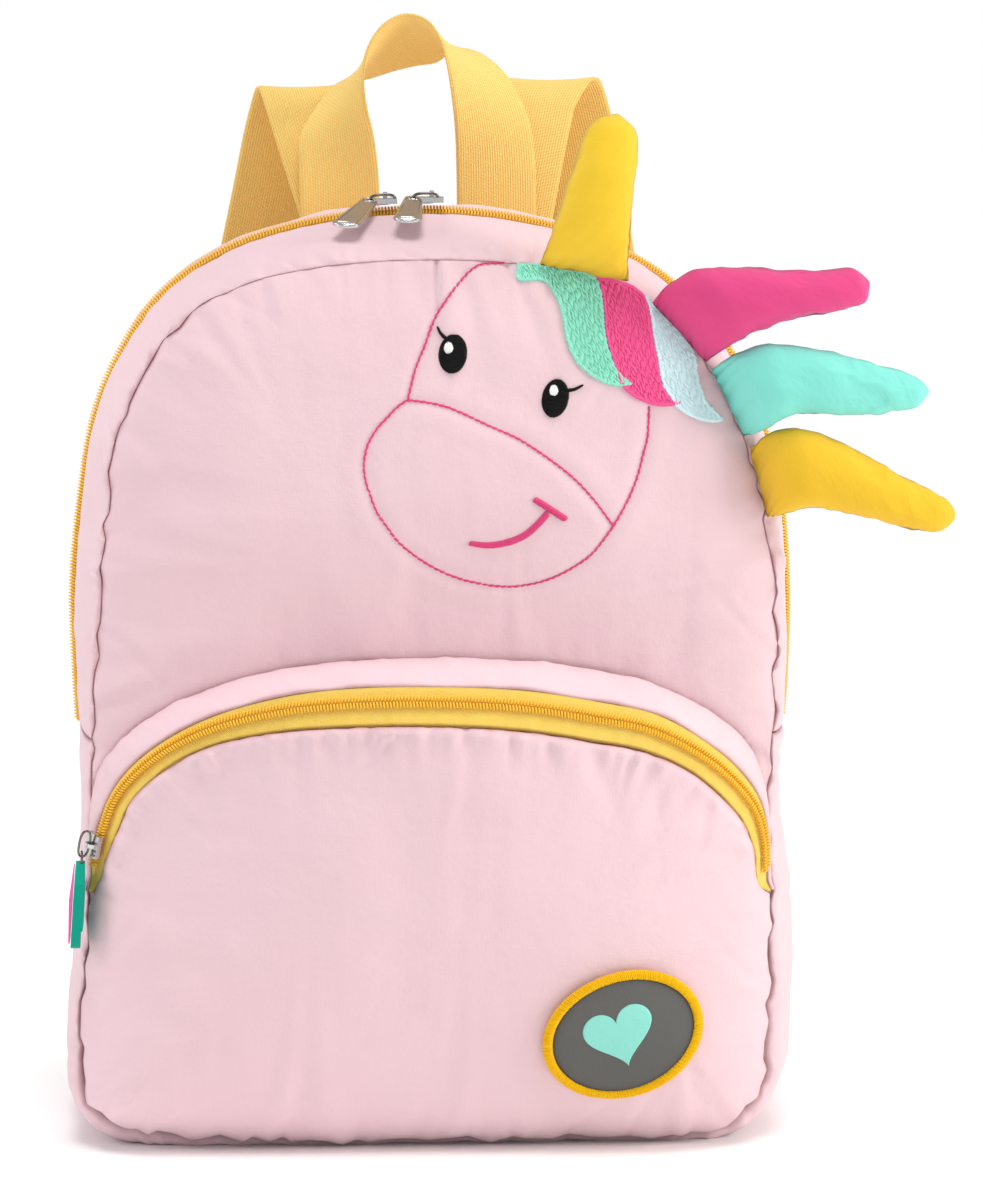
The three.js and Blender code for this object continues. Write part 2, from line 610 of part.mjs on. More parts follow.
// Zip tape sunk between the two band halves, and the coil on it.
addStrip(
  "main_zip_tape",
  archStations.map((p) => [-1, 0, 1].map((k) => bandPoint(p, ZIP_ACROSS + k * ZIP_HALF_TAPE, 1.25))),
  archStations.map((p) => [-1, 0, 1].map((k) => bandPoint(p, ZIP_ACROSS + k * ZIP_HALF_TAPE, 1.25 + TAPE_WALL))),
  YELLOW, 0.8,
);
const coilStations = seamStations(ROW.bandEndL, ROW.bandEndR, 50);
{
  const { points, tris } = loftSections(
    coilStations.map((p) => ellipse(bandPoint(p, ZIP_ACROSS, -0.2), V(0, 1, 0), V(p.nx, 0, p.nz), 2.4, 1.05, 6)),
  );
  addPiece("main_zip_coil", points, tris, 0xdfa31a, 0.5);
}

// ---------------------------------------------------------------- front pocket
const archCurves = ["band", "top", "low"].map(
  (key) => new THREE.CatmullRomCurve3(ARCH.map((r) => V(r[key][0], r.lift, r[key][1])), false, "centripetal"),
);
function archStation(t) {
  const [band, top, low] = archCurves.map((c) => c.getPoint(t));
  const tangent = archCurves[1].getTangent(t);
  const inward = V(tangent.z, 0, -tangent.x).normalize(); // towards the middle of the pocket, in the front view
  const lift = top.y;
  low.y = pocketDepth(low.x, low.z);
  top.y = mix(seamFront(top.z), low.y, lift);
  band.y = (facetDepth(frontPanel, band.x, band.z) ?? seamFront(band.z)) - 0.6;
  return { band, top, low, inward };
}
const ARCH_STEPS = 22;
const archParams = (count) => {
  const c = archCurves[2], m = 400;
  const sums = [0];
  for (let i = 1; i <= m; i++) {
    const a = c.getPoint((i - 1) / m), b = c.getPoint(i / m);
    const ta = c.getTangent((i - 1) / m), tb = c.getTangent(i / m);
    sums.push(sums[i - 1] + a.distanceTo(b) + 22 * ta.distanceTo(tb));
  }
  return Array.from({ length: count + 1 }, (_, k) => {
    let i = 0;
    while (i < m && sums[i] < (sums[m] * k) / count - 1e-9) i++;
    return i / m;
  });
};
const arch = archParams(ARCH_STEPS).map(archStation);
const POCKET_ROW = { endL: 6.52, endR: 27.72 };
const pocketLeft = seamStations(ROW.cornerL, POCKET_ROW.endL, 6);
const pocketRight = seamStations(POCKET_ROW.endR, ROW.cornerR, 6);
// Where the zip runs out into the side seam its band and tape are narrow and end beside the pocket panel's edge.
function archEnd(corner, next) {
  const low = V(corner.x, 0, corner.z).lerp(V(next.low.x, 0, next.low.z), 0.5).addScaledVector(next.inward, -0.45);
  const side = Math.sign(low.x);
  const top = V(low.x + side * 2.5, 0, low.z);
  const band = V(low.x + side * 1.7, 0, low.z);
  low.y = pocketDepth(low.x, low.z);
  top.y = low.y + 1.0;
  band.y = seamFront(band.z) - 0.6;
  return { band, top, low, inward: V(-side, 0, 0), narrow: true };
}
const zipRows = [
  archEnd(pocketLeft[pocketLeft.length - 1], arch[1]),
  ...arch.slice(1, -1),
  archEnd(pocketRight[0], arch[arch.length - 2]),
];
{
  // The band stands on the front panel, so its foot follows the lowest facet between neighbouring stations.
  const clear = (i, pick) => {
    let y = Infinity;
    for (let k = -4; k <= 4; k++) {
      const j = clamp(i + Math.sign(k), 0, zipRows.length - 1);
      const p = pick(zipRows[i]).clone().lerp(pick(zipRows[j]), Math.abs(k) / 4);
      y = Math.min(y, facetDepth(frontPanel, p.x, p.z) ?? seamFront(p.z));
    }
    return y - 0.45;
  };
  const wideOf = (s) => (s.narrow ? 1.1 : Math.min(BAND_WALL, 0.3 * s.band.distanceTo(s.low)));
  const footOf = (s) => s.band.clone().addScaledVector(s.inward, wideOf(s));
  const outer = [], inner = [];
  zipRows.forEach((s, i) => {
    const wide = wideOf(s);
    const lean = V(0, 0.7, 0).addScaledVector(s.inward, 0.7);
    const band = s.band.clone(), foot = footOf(s);
    band.y = clear(i, (r) => r.band);
    foot.y = Math.min(clear(i, footOf), band.y);
    const middle = band.clone().lerp(s.top, 0.5).addScaledVector(s.inward, s.narrow ? 0 : -0.8);
    outer.push([band, middle, s.top]);
    inner.push([foot, middle.clone().addScaledVector(s.inward, wide), s.top.clone().addScaledVector(lean, wide)]);
  });
  addStrip("pocket_band", outer, inner, PINK);
}
{
  const outer = [], inner = [];
  for (const s of zipRows) {
    const across = s.low.clone().sub(s.top);
    const width = across.length();
    across.normalize();
    const row = [1.1, width / 2, width - (s.narrow ? 0.1 : 0.5)].map((v) => s.top.clone().addScaledVector(across, v));
    const down = V(0, 1, 0).addScaledVector(s.inward, 0.3).normalize().multiplyScalar(TAPE_WALL);
    outer.push(row);
    inner.push(row.map((p) => p.clone().add(down)));
  }
  addStrip("pocket_zip_tape", outer, inner, YELLOW, 0.8);
}
// The coil's middle, half width and the tape's outward direction at each of its stations.
const coilRows = (() => {
  const stations = archParams(44).map(archStation);
  return stations.slice(2, -2).map((s, i) => {
    const along = stations[i + 3].top.clone().sub(stations[i + 1].top).normalize();
    const across = s.low.clone().sub(s.top).normalize();
    const out = new THREE.Vector3().crossVectors(along, across).normalize();
    if (out.y > 0) out.negate();
    const half = Math.min(2.4, 0.3 * s.low.distanceTo(s.top));
    const centre = s.top.clone().lerp(s.low, 0.43).addScaledVector(out, 0.6 + 1.05);
    return { centre, across, along, out, half };
  });
})();
{
  const { points, tris } = loftSections(coilRows.map((c) => ellipse(c.centre, c.across, c.out, c.half, 1.05, 6)));
  addPiece("pocket_zip_coil", points, tris, 0xdfa31a, 0.5);
}
const pocketBottom = seamStations(ROW.cornerR, ROW.cornerL + SEAM.length, ARCH_STEPS);
const pocketPanel = (() => {
  const loop = [], inward = [], rimOuter = [], rimInner = [];
  const fromSeam = (p) => {
    loop.push([p.x - p.nx * EDGE_GAP, p.z - p.nz * EDGE_GAP]);
    inward.push([-p.nx, -p.nz]);
    const y = seamFront(p.z) - 0.5;
    rimOuter.push(V(p.x - p.nx * EDGE_GAP, y - PANEL_WALL, p.z - p.nz * EDGE_GAP));
    rimInner.push(V(p.x - p.nx * EDGE_GAP, y, p.z - p.nz * EDGE_GAP));
  };
  pocketLeft.slice(0, -1).forEach(fromSeam);
  arch.forEach((s, i) => {
    if (i === 0) return fromSeam(pocketLeft[pocketLeft.length - 1]);
    if (i === arch.length - 1) return fromSeam(pocketRight[0]);
    const p = s.low.clone().addScaledVector(s.inward, 0.3);
    loop.push([p.x, p.z]);
    inward.push([s.inward.x, s.inward.z]);
    const y = pocketDepth(p.x, p.z);
    rimOuter.push(V(p.x, y, p.z));
    rimInner.push(V(p.x, y + PANEL_WALL, p.z));
  });
  pocketRight.slice(1, -1).forEach(fromSeam);
  pocketBottom.slice(0, -1).forEach(fromSeam);
  const tips = [pocketLeft[pocketLeft.length - 1], pocketRight[0]];
  const insets = loop.map(([x, z]) => {
    const d = Math.min(...tips.map((t) => Math.hypot(t.x - x, t.z - z)));
    return clamp(0.1 * d + 0.3, 0.3, 6);
  });
  return panelPiece("pocket_panel", loop, [6, ARCH_STEPS], insets, inward, rimOuter, rimInner, pocketDepth, 1, PINK);
})();

// ---------------------------------------------------------------- stuffed horn and mane
for (const [name, { rows, colour }] of Object.entries(STUFFED)) {
  const sections = rows.map(([ax, az, bx, bz, ahead, half]) => {
    const z = (az + bz) / 2;
    const centre = V((ax + bx) / 2, seamFront(z) - ahead, z);
    const along = V(bx - ax, 0, bz - az);
    const width = along.length() / 2;
    return ellipse(centre, along.normalize(), V(0, 1, 0), width, half, 12);
  });
  const { points, tris } = loftSections(sections);
  addPiece(name, points, tris, colour, 0.8);
}

// ---------------------------------------------------------------- webbing
function ribbon(name, centres, widths, colour) {
  const n = centres.length;
  const outer = [], inner = [];
  for (let i = 0; i < n; i++) {
    const along = centres[Math.min(n - 1, i + 1)].clone().sub(centres[Math.max(0, i - 1)]).normalize();
    const face = new THREE.Vector3().crossVectors(along, widths[i]).normalize();
    outer.push([-0.5, 0, 0.5].map((f) => centres[i].clone().addScaledVector(widths[i], f).addScaledVector(face, WEBBING / 2)));
    inner.push([-0.5, 0, 0.5].map((f) => centres[i].clone().addScaledVector(widths[i], f).addScaledVector(face, -WEBBING / 2)));
  }
  addStrip(name, outer, inner, colour, 0.75);
}
{
  const inner = new THREE.CatmullRomCurve3(HANDLE.map((r) => V(r[0], r[1], r[2])), false, "centripetal");
  const outer = new THREE.CatmullRomCurve3(HANDLE.map((r) => V(r[3], r[4], r[5])), false, "centripetal");
  const count = 30;
  const centres = [], widths = [];
  for (let i = 0; i <= count; i++) {
    const a = inner.getPoint(i / count), b = outer.getPoint(i / count);
    centres.push(a.clone().lerp(b, 0.5));
    widths.push(b.sub(a));
  }
  ribbon("handle", centres, widths, YELLOW);
}
for (const [name, rows] of Object.entries(STRAPS)) {
  const line = new THREE.CatmullRomCurve3(rows.map((r) => V(r[0], r[1], r[2])), false, "centripetal");
  const count = 40;
  const centres = [], widths = [];
  for (let i = 0; i <= count; i++) {
    const t = i / count, row = t * (rows.length - 1);
    const k = Math.min(rows.length - 2, Math.floor(row));
    const slope = THREE.MathUtils.degToRad(mix(rows[k][3], rows[k + 1][3], row - k));
    const p = line.getPoint(t), tangent = line.getTangent(t);
    const w = V(Math.cos(slope), 0, Math.sin(slope));
    w.addScaledVector(tangent, -w.dot(tangent)).normalize().multiplyScalar(WEBBING_WIDTH);
    centres.push(p);
    widths.push(w);
  }
  ribbon(name, centres, widths, YELLOW);
}

// ---------------------------------------------------------------- oval patch on the pocket
{
  const tilt = THREE.MathUtils.degToRad(PATCH.tilt);
  const spot = (r, w) => {
    const a = PATCH.half[0] * r * Math.cos(w), b = PATCH.half[1] * r * Math.sin(w);
    const x = PATCH.x + a * Math.cos(tilt) - b * Math.sin(tilt);
    const z = PATCH.z + a * Math.sin(tilt) + b * Math.cos(tilt);
    return V(x, facetDepth(pocketPanel, x, z) ?? pocketDepth(x, z), z);
  };
  const count = 28, rings = [0.26, 0.52, 0.78, 1];
  const outer = [spot(0, 0)], inner = [];
  for (const r of rings) for (let i = 0; i < count; i++) outer.push(spot(r, (2 * Math.PI * i) / count));
  for (const p of outer) {
    inner.push(V(p.x, p.y - 0.9, p.z));
    p.y -= 0.9 + PATCH.wall;
  }
  const quads = [];
  for (let i = 0; i < count; i += 2)
    quads.push([0, 1 + i, 1 + ((i + 1) % count), 1 + ((i + 2) % count)]);
  for (let k = 0; k + 1 < rings.length; k++)
    for (let i = 0; i < count; i++) {
      const a = 1 + k * count, b = a + count, j = (i + 1) % count;
      quads.push([a + i, b + i, b + j, a + j]);
    }
  addWall("patch", outer, inner, quads, 0x62625f, 0.8);
  const grow = 1 + (PATCH.border / 2 + 0.5) / 23;
  const sections = Array.from({ length: 40 }, (_, i) => {
    const w = (2 * Math.PI * i) / 40;
    const c = spot(grow, w);
    const out = c.clone().sub(V(PATCH.x, c.y, PATCH.z)).normalize();
    c.y -= 0.95 + 1.1;
    return ellipse(c, out, V(0, 1, 0), PATCH.border / 2, 1.1, 6);
  });
  const { points, tris } = loftSections(sections, true);
  addPiece("patch_border", points, tris, 0xf3c524, 0.6);
}

// ---------------------------------------------------------------- metal zip pulls and the rubber puller
function toManifold(geometry) {
  const positions = geometry.getAttribute("position");
  const source = geometry.index ? Array.from(geometry.index.array) : Array.from({ length: positions.count }, (_, i) => i);
  const keys = new Map(), vertices = [], index = [];
  for (const i of source) {
    const p = [positions.getX(i), positions.getY(i), positions.getZ(i)];
    const key = p.map((v) => Math.round(v * 1e4)).join(",");
    if (!keys.has(key)) {
      keys.set(key, vertices.length / 3);
      vertices.push(...p);
    }
    index.push(keys.get(key));
  }
  const tris = [];
  for (let i = 0; i < index.length; i += 3)
    if (index[i] !== index[i + 1] && index[i + 1] !== index[i + 2] && index[i] !== index[i + 2])
      tris.push(index[i], index[i + 1], index[i + 2]);
  return new wasm.Manifold(
    new wasm.Mesh({ numProp: 3, vertProperties: new Float32Array(vertices), triVerts: new Uint32Array(tris) }),
  );
}
function fromManifold(solid) {
  const m = solid.getMesh();
  const geometry = new THREE.BufferGeometry();
  const points = new Float32Array(m.numVert * 3);
  for (let i = 0; i < m.numVert; i++)
    points.set(m.vertProperties.subarray(i * m.numProp, i * m.numProp + 3), i * 3);
  geometry.setAttribute("position", new THREE.BufferAttribute(points, 3));
  geometry.setIndex(new THREE.BufferAttribute(new Uint32Array(m.triVerts), 1));
  geometry.computeVertexNormals();
  return geometry;
}
// A frame whose X runs along the zip and whose Z stands out of the cloth.
function frameAt(origin, along, out) {
  const x = along.clone().normalize();
  const z = out.clone().addScaledVector(x, -out.dot(x)).normalize();
  const y = new THREE.Vector3().crossVectors(z, x);
  return new THREE.Matrix4().makeBasis(x, y, z).setPosition(origin);
}

// Slider: a channel over the coil, with a bridge across it under which the ring runs.
// Its X runs along the zip and its Z stands out of the cloth.
function sliderSolid() {
  const { length, inside, roof, plate, bridge } = SLIDER;
  const half = inside + 0.8, top = roof + plate;
  const section = (points) => new THREE.Shape(points.map(([a, b]) => new THREE.Vector2(a, b)));
  const channel = section([
    [-half, 0.45], [-inside, 0.45], [-inside, roof], [inside, roof], [inside, 0.45], [half, 0.45], [half, top], [-half, top],
  ]);
  const arch = new THREE.Shape();
  arch.moveTo(-2.2, top - 0.2);
  arch.lineTo(-2.2, top + 0.2);
  arch.absarc(0, top + 0.2, 2.2, Math.PI, 0, true);
  arch.lineTo(2.2, top - 0.2);
  arch.lineTo(1.4, top - 0.2);
  arch.lineTo(1.4, top + 0.2);
  arch.absarc(0, top + 0.2, 1.4, 0, Math.PI, false);
  arch.lineTo(-1.4, top - 0.2);
  const turn = new THREE.Matrix4().makeBasis(V(0, 1, 0), V(0, 0, 1), V(1, 0, 0)); // section to Y-Z, depth to X
  const extrude = (shape, depth) =>
    toManifold(new THREE.ExtrudeGeometry(shape, { depth, bevelEnabled: false, curveSegments: 4 }).translate(0, 0, -depth / 2).applyMatrix4(turn));
  return extrude(channel, length).add(extrude(arch, bridge));
}
function addSlider(name, frame) {
  addGeometry(name, fromManifold(sliderSolid()), METAL, 0.3, 1).applyMatrix4(frame);
}
// Closed wire ring in its frame's X-Z plane, a rounded D seen from the side.
function addRing(name, frame, { halfLong, halfHigh, wire }, count = 18) {
  const bend = (v) => Math.sign(v) * Math.pow(Math.abs(v), 0.8);
  const spot = (w) => V(halfLong * bend(Math.cos(w)), 0, halfHigh * bend(Math.sin(w)));
  const sections = Array.from({ length: count }, (_, i) => {
    const w = (2 * Math.PI * (i + 0.5)) / count;
    const along = spot(w + 0.05).sub(spot(w - 0.05)).normalize();
    const out = new THREE.Vector3().crossVectors(along, V(0, 1, 0));
    return ellipse(spot(w), out, V(0, 1, 0), wire / 2, wire / 2, 6).map((p) => p.applyMatrix4(frame));
  });
  const { points, tris } = loftSections(sections, true);
  return addPiece(name, points, tris, 0x6a6460, 0.3, 1);
}
const leanTo = (out, side, degrees) => {
  const a = THREE.MathUtils.degToRad(degrees);
  return out.clone().multiplyScalar(Math.cos(a)).addScaledVector(side, Math.sin(a));
};
const RING_FOOT = SLIDER.roof + SLIDER.plate + 0.8; // height of the ring's lower wire over the cloth

function mainStation(x) {
  let best = fine[0];
  for (const p of fine) if (p.z > 200 && Math.abs(p.x + p.nx * p.swell - x) < Math.abs(best.x + best.nx * best.swell - x)) best = p;
  return best;
}
for (const [key, pull] of Object.entries(MAIN_PULLS)) {
  const p = mainStation(pull.slider);
  const crown = bandPoint(p, ZIP_ACROSS);
  const along = V(p.nz, 0, -p.nx);
  const out = V(p.nx, 0, p.nz);
  addSlider("main_slider_" + key, frameAt(crown, along, out));
  const lean = leanTo(out, V(0, -1, 0), RING.lean);
  const middle = crown.clone().addScaledVector(out, RING_FOOT).addScaledVector(lean, RING.halfHigh).addScaledVector(along, -RING.back);
  addRing("main_ring_" + key, frameAt(middle, along, lean), RING);
  // The tab hangs on the ring's left end and lies forward over the band.
  const wire = middle.clone().addScaledVector(along, -RING.halfLong);
  const tip = V(...pull.tip);
  const d = tip.clone().sub(wire).normalize();
  const hole = wire.clone().addScaledVector(d, 0.75).addScaledVector(lean, -0.35);
  const length = hole.distanceTo(tip);
  const outline = new THREE.Shape();
  const a = TAB.narrow / 2, b = TAB.wide / 2;
  outline.moveTo(-2.45, -1.6);
  outline.lineTo(-0.6, -a);
  outline.lineTo(length - b * 0.8, -b);
  outline.absellipse(length - b * 0.8, 0, b * 0.8, b, -Math.PI / 2, Math.PI / 2, false);
  outline.lineTo(-0.6, a);
  outline.lineTo(-2.45, 1.6);
  const round = new THREE.Path();
  round.absarc(0, 0, TAB.hole, 0, 2 * Math.PI, true);
  outline.holes.push(round);
  const tab = new THREE.ExtrudeGeometry(outline, { depth: TAB.wall, bevelEnabled: false, curveSegments: 6 });
  tab.translate(0, 0, -TAB.wall / 2);
  const normal = leanTo(out, V(0, -1, 0), 20);
  addGeometry("main_tab_" + key, fromManifold(toManifold(tab)), METAL, 0.25, 1).applyMatrix4(frameAt(hole, d, normal));
}

// Pocket slider near the left end of the pocket's zip, its ring, and the moulded puller that hangs from it on a wire eye.
{
  const c = coilRows.reduce((best, r) => (r.centre.x < -90 && Math.abs(r.centre.z - 112.8) < Math.abs(best.centre.z - 112.8) ? r : best));
  const base = c.centre.clone().addScaledVector(c.out, -0.15);
  const up = c.along.z > 0 ? c.along : c.along.clone().negate();
  addSlider("pocket_slider", frameAt(base, up, c.out));
  const side = V(-1, 0, 0).addScaledVector(up, up.x).addScaledVector(c.out, c.out.x).normalize();
  const lean = leanTo(c.out, side, 8);
  const big = { halfLong: 4.9, halfHigh: 2.1, wire: 1.0 };
  const middle = base.clone().addScaledVector(c.out, RING_FOOT).addScaledVector(lean, big.halfHigh).addScaledVector(up, 0.4);
  addRing("pocket_ring", frameAt(middle, up, lean), big);

  const foot = middle.clone().addScaledVector(up, -big.halfLong); // lowest point of the ring's wire
  const edge = (rows, depth) => {
    const shape = new THREE.Shape(rows.map(([x, z]) => new THREE.Vector2(x, z)));
    const g = new THREE.ExtrudeGeometry(shape, { depth, bevelEnabled: false });
    return toManifold(g.translate(0, 0, -depth / 2).applyMatrix4(new THREE.Matrix4().makeBasis(V(1, 0, 0), V(0, 0, 1), V(0, -1, 0)).setPosition(0, foot.y, 0)));
  };
  const top = PULLER.rows[0][0], low = PULLER.rows[PULLER.rows.length - 1][0];
  const side2 = new THREE.Shape();
  const w = PULLER.width / 2, r = 4.5;
  side2.moveTo(-3, top + 1);
  side2.lineTo(-w, top - 7);
  side2.lineTo(-w, low + r);
  side2.absarc(-w + r, low + r, r, Math.PI, 1.5 * Math.PI, false);
  side2.absarc(w - r, low + r, r, 1.5 * Math.PI, 2 * Math.PI, false);
  side2.lineTo(w, top - 7);
  side2.lineTo(3, top + 1);
  const face = () =>
    toManifold(new THREE.ExtrudeGeometry(side2, { depth: 20, bevelEnabled: false, curveSegments: 5 })
      .applyMatrix4(new THREE.Matrix4().makeBasis(V(0, 1, 0), V(0, 0, 1), V(1, 0, 0)).setPosition(-140, foot.y, 0)));
  const shift = foot.x - 0.5 - (PULLER.rows[0][1] + PULLER.rows[0][2]) / 2;
  const rows = PULLER.rows.map(([z, a, b]) => [z, a + shift, b + shift]);
  const leftAt = (z) => {
    for (let i = 0; i + 1 < rows.length; i++)
      if (z <= rows[i][0] && z >= rows[i + 1][0])
        return mix(rows[i][1], rows[i + 1][1], (z - rows[i][0]) / (rows[i + 1][0] - rows[i][0]));
    return rows[0][1];
  };
  // Wire eye: a staple round the ring's lowest point whose two legs go down into the puller.
  const eyeY = foot.y;
  const eye = new THREE.CatmullRomCurve3([
    V(foot.x, eyeY - 1.7, top - 3.4), V(foot.x, eyeY - 1.7, top - 1), V(foot.x, eyeY - 1.6, foot.z + 0.4),
    V(foot.x, eyeY - 0.9, foot.z + 1.5), V(foot.x, eyeY, foot.z + 1.9), V(foot.x, eyeY + 0.9, foot.z + 1.5),
    V(foot.x, eyeY + 1.6, foot.z + 0.4), V(foot.x, eyeY + 1.7, top - 1), V(foot.x, eyeY + 1.7, top - 3.4),
  ], false, "centripetal");
  const eyeSections = Array.from({ length: 19 }, (_, i) => {
    const t = i / 18, tangent = eye.getTangent(t);
    return ellipse(eye.getPoint(t), V(1, 0, 0), new THREE.Vector3().crossVectors(tangent, V(1, 0, 0)).normalize(), 0.5, 0.5, 6);
  });
  const eyeLoft = loftSections(eyeSections);
  addPiece("pocket_eye", eyeLoft.points, eyeLoft.tris, 0x6a6460, 0.3, 1);
  let teal = edge([...rows.map(([z, a]) => [a, z]), ...rows.map(([z, , b]) => [b, z]).reverse()], 40).intersect(face());
  for (const k of [-1, 1]) {
    const bore = new THREE.CylinderGeometry(0.85, 0.85, 8, 10).rotateX(Math.PI / 2).translate(foot.x, eyeY + k * 1.7, top - 3.8 + 4);
    teal = teal.subtract(toManifold(bore));
  }
  addGeometry("pocket_puller", fromManifold(teal), 0x00a58f, 0.6);
  const layerRows = PULLER.layer.map(([z, t]) => [z, leftAt(z) - 0.3, t]);
  const pink = edge([...layerRows.map(([z, x]) => [x, z]), ...layerRows.map(([z, x, t]) => [x - t, z]).reverse()], 40).intersect(face());
  addGeometry("pocket_puller_layer", fromManifold(pink), 0xe05aa8, 0.6);
}

export default group;
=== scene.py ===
import bpy, math
import numpy as np
from mathutils import Matrix, Vector
from mathutils.geometry import delaunay_2d_cdt


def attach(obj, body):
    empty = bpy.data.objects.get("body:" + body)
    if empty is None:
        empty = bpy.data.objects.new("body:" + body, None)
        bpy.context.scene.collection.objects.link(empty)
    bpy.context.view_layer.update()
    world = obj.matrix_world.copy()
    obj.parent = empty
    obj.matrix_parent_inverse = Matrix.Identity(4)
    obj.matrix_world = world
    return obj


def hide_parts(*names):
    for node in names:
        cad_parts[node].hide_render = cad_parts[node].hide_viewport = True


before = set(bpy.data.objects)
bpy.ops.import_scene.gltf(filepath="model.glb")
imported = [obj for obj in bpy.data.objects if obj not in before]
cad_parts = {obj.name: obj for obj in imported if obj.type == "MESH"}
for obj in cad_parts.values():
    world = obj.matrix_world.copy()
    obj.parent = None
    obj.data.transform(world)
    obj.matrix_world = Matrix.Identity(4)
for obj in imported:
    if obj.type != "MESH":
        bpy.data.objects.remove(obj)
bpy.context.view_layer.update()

# Child's animal backpack. Lengths in this script are millimetres until a mesh is made.
# ---------------------------------------------------------------- tables shared with the part's source
# Front seam, clockwise seen from the front from the middle of the bottom: name, x, z, swell of the band.
SEAM = [
  ["bottom", -1.5, 1.6, 8],
  ["bottomL1", -67, 2.6, 8],
  ["bottomL2", -100, 5, 8],
  ["cornerL1", -118.5, 10, 8],
  ["cornerL2", -126.2, 20.5, 7],
  ["sideL1", -127.4, 40, 5.5],
  ["sideL2", -126, 69, 5],
  ["sideL3", -123.7, 109, 5],
  ["sideL4", -122.7, 139.5, 5.6],
  ["sideL5", -121.5, 167.5, 8.2],
  ["sideL6", -119.5, 200, 11.2],
  ["sideL7", -117, 232.5, 10.6],
  ["shoulderL1", -112, 262, 10],
  ["shoulderL2", -102.5, 283, 10.4],
  ["shoulderL3", -89.5, 300.2, 11],
  ["topL1", -68.5, 312.8, 13],
  ["topL2", -38, 319.6, 16],
  ["top", -2, 321.7, 17.6],
  ["topR1", 32, 320, 16],
  ["topR2", 61, 313.6, 13],
  ["shoulderR1", 82.5, 302.5, 11.4],
  ["shoulderR2", 101, 281, 11.4],
  ["shoulderR3", 112.5, 256.4, 11.4],
  ["sideR1", 119.8, 231, 10.4],
  ["sideR2", 123.6, 198.3, 9],
  ["sideR3", 123.6, 161.8, 8],
  ["sideR4", 121.8, 132.5, 7.6],
  ["sideR5", 121.6, 106.8, 8.6],
  ["sideR6", 122.4, 84.7, 10.4],
  ["sideR7", 122, 51.4, 11.6],
  ["cornerR1", 120.4, 26.2, 10],
  ["cornerR2", 114, 11.2, 9],
  ["cornerR3", 98, 4.4, 8],
  ["bottomR", 60.6, 2.2, 8],
]
# Pocket arch: name, band x z, tape top x z, tape low x z, lift.
ARCH = [
  ["endL", -124.2, 92, -124.0, 92, -121.6, 92, 0.5],
  ["riseL1", -123.9, 106, -123.9, 106, -119.0, 106, 0.34],
  ["riseL2", -123.1, 124, -121.3, 119.2, -114.2, 119.3, 0.36],
  ["riseL3", -121.4, 137.5, -117.4, 130.6, -109.6, 129.6, 0.46],
  ["shoulderL1", -115.4, 146.2, -109.6, 142, -102.0, 138.2, 0.6],
  ["shoulderL2", -104.5, 156.4, -96, 153.5, -91.1, 146.6, 0.74],
  ["archL1", -88, 165.4, -78.7, 162.6, -76.3, 153, 0.8],
  ["archL2", -62, 173.4, -54.2, 169.8, -54.0, 157.5, 0.82],
  ["archL3", -33.8, 177.6, -30.8, 172.9, -31.0, 159.2, 0.82],
  ["middle", -1.5, 179.2, 1.2, 173.5, 0.9, 159.5, 0.82],
  ["archR3", 30.8, 177.8, 31.5, 171.7, 31.2, 157.2, 0.82],
  ["archR2", 59.7, 174.1, 58.6, 167.0, 55.6, 152.8, 0.82],
  ["archR1", 82.6, 167.4, 79.1, 161.8, 74.0, 148.6, 0.8],
  ["shoulderR2", 101.5, 157.4, 97.7, 150.7, 91.0, 140.4, 0.74],
  ["shoulderR1", 114.2, 145.4, 110.3, 139.3, 102.8, 130.4, 0.6],
  ["riseR3", 119.7, 131.4, 118.6, 127.0, 111.6, 119.6, 0.46],
  ["riseR2", 120.9, 115.0, 121.6, 114.0, 115.8, 109.0, 0.36],
  ["riseR1", 121.4, 101, 121.4, 101, 117.2, 98.4, 0.34],
  ["endR", 121.8, 89.5, 121.6, 89.5, 119.4, 89.5, 0.5],
]
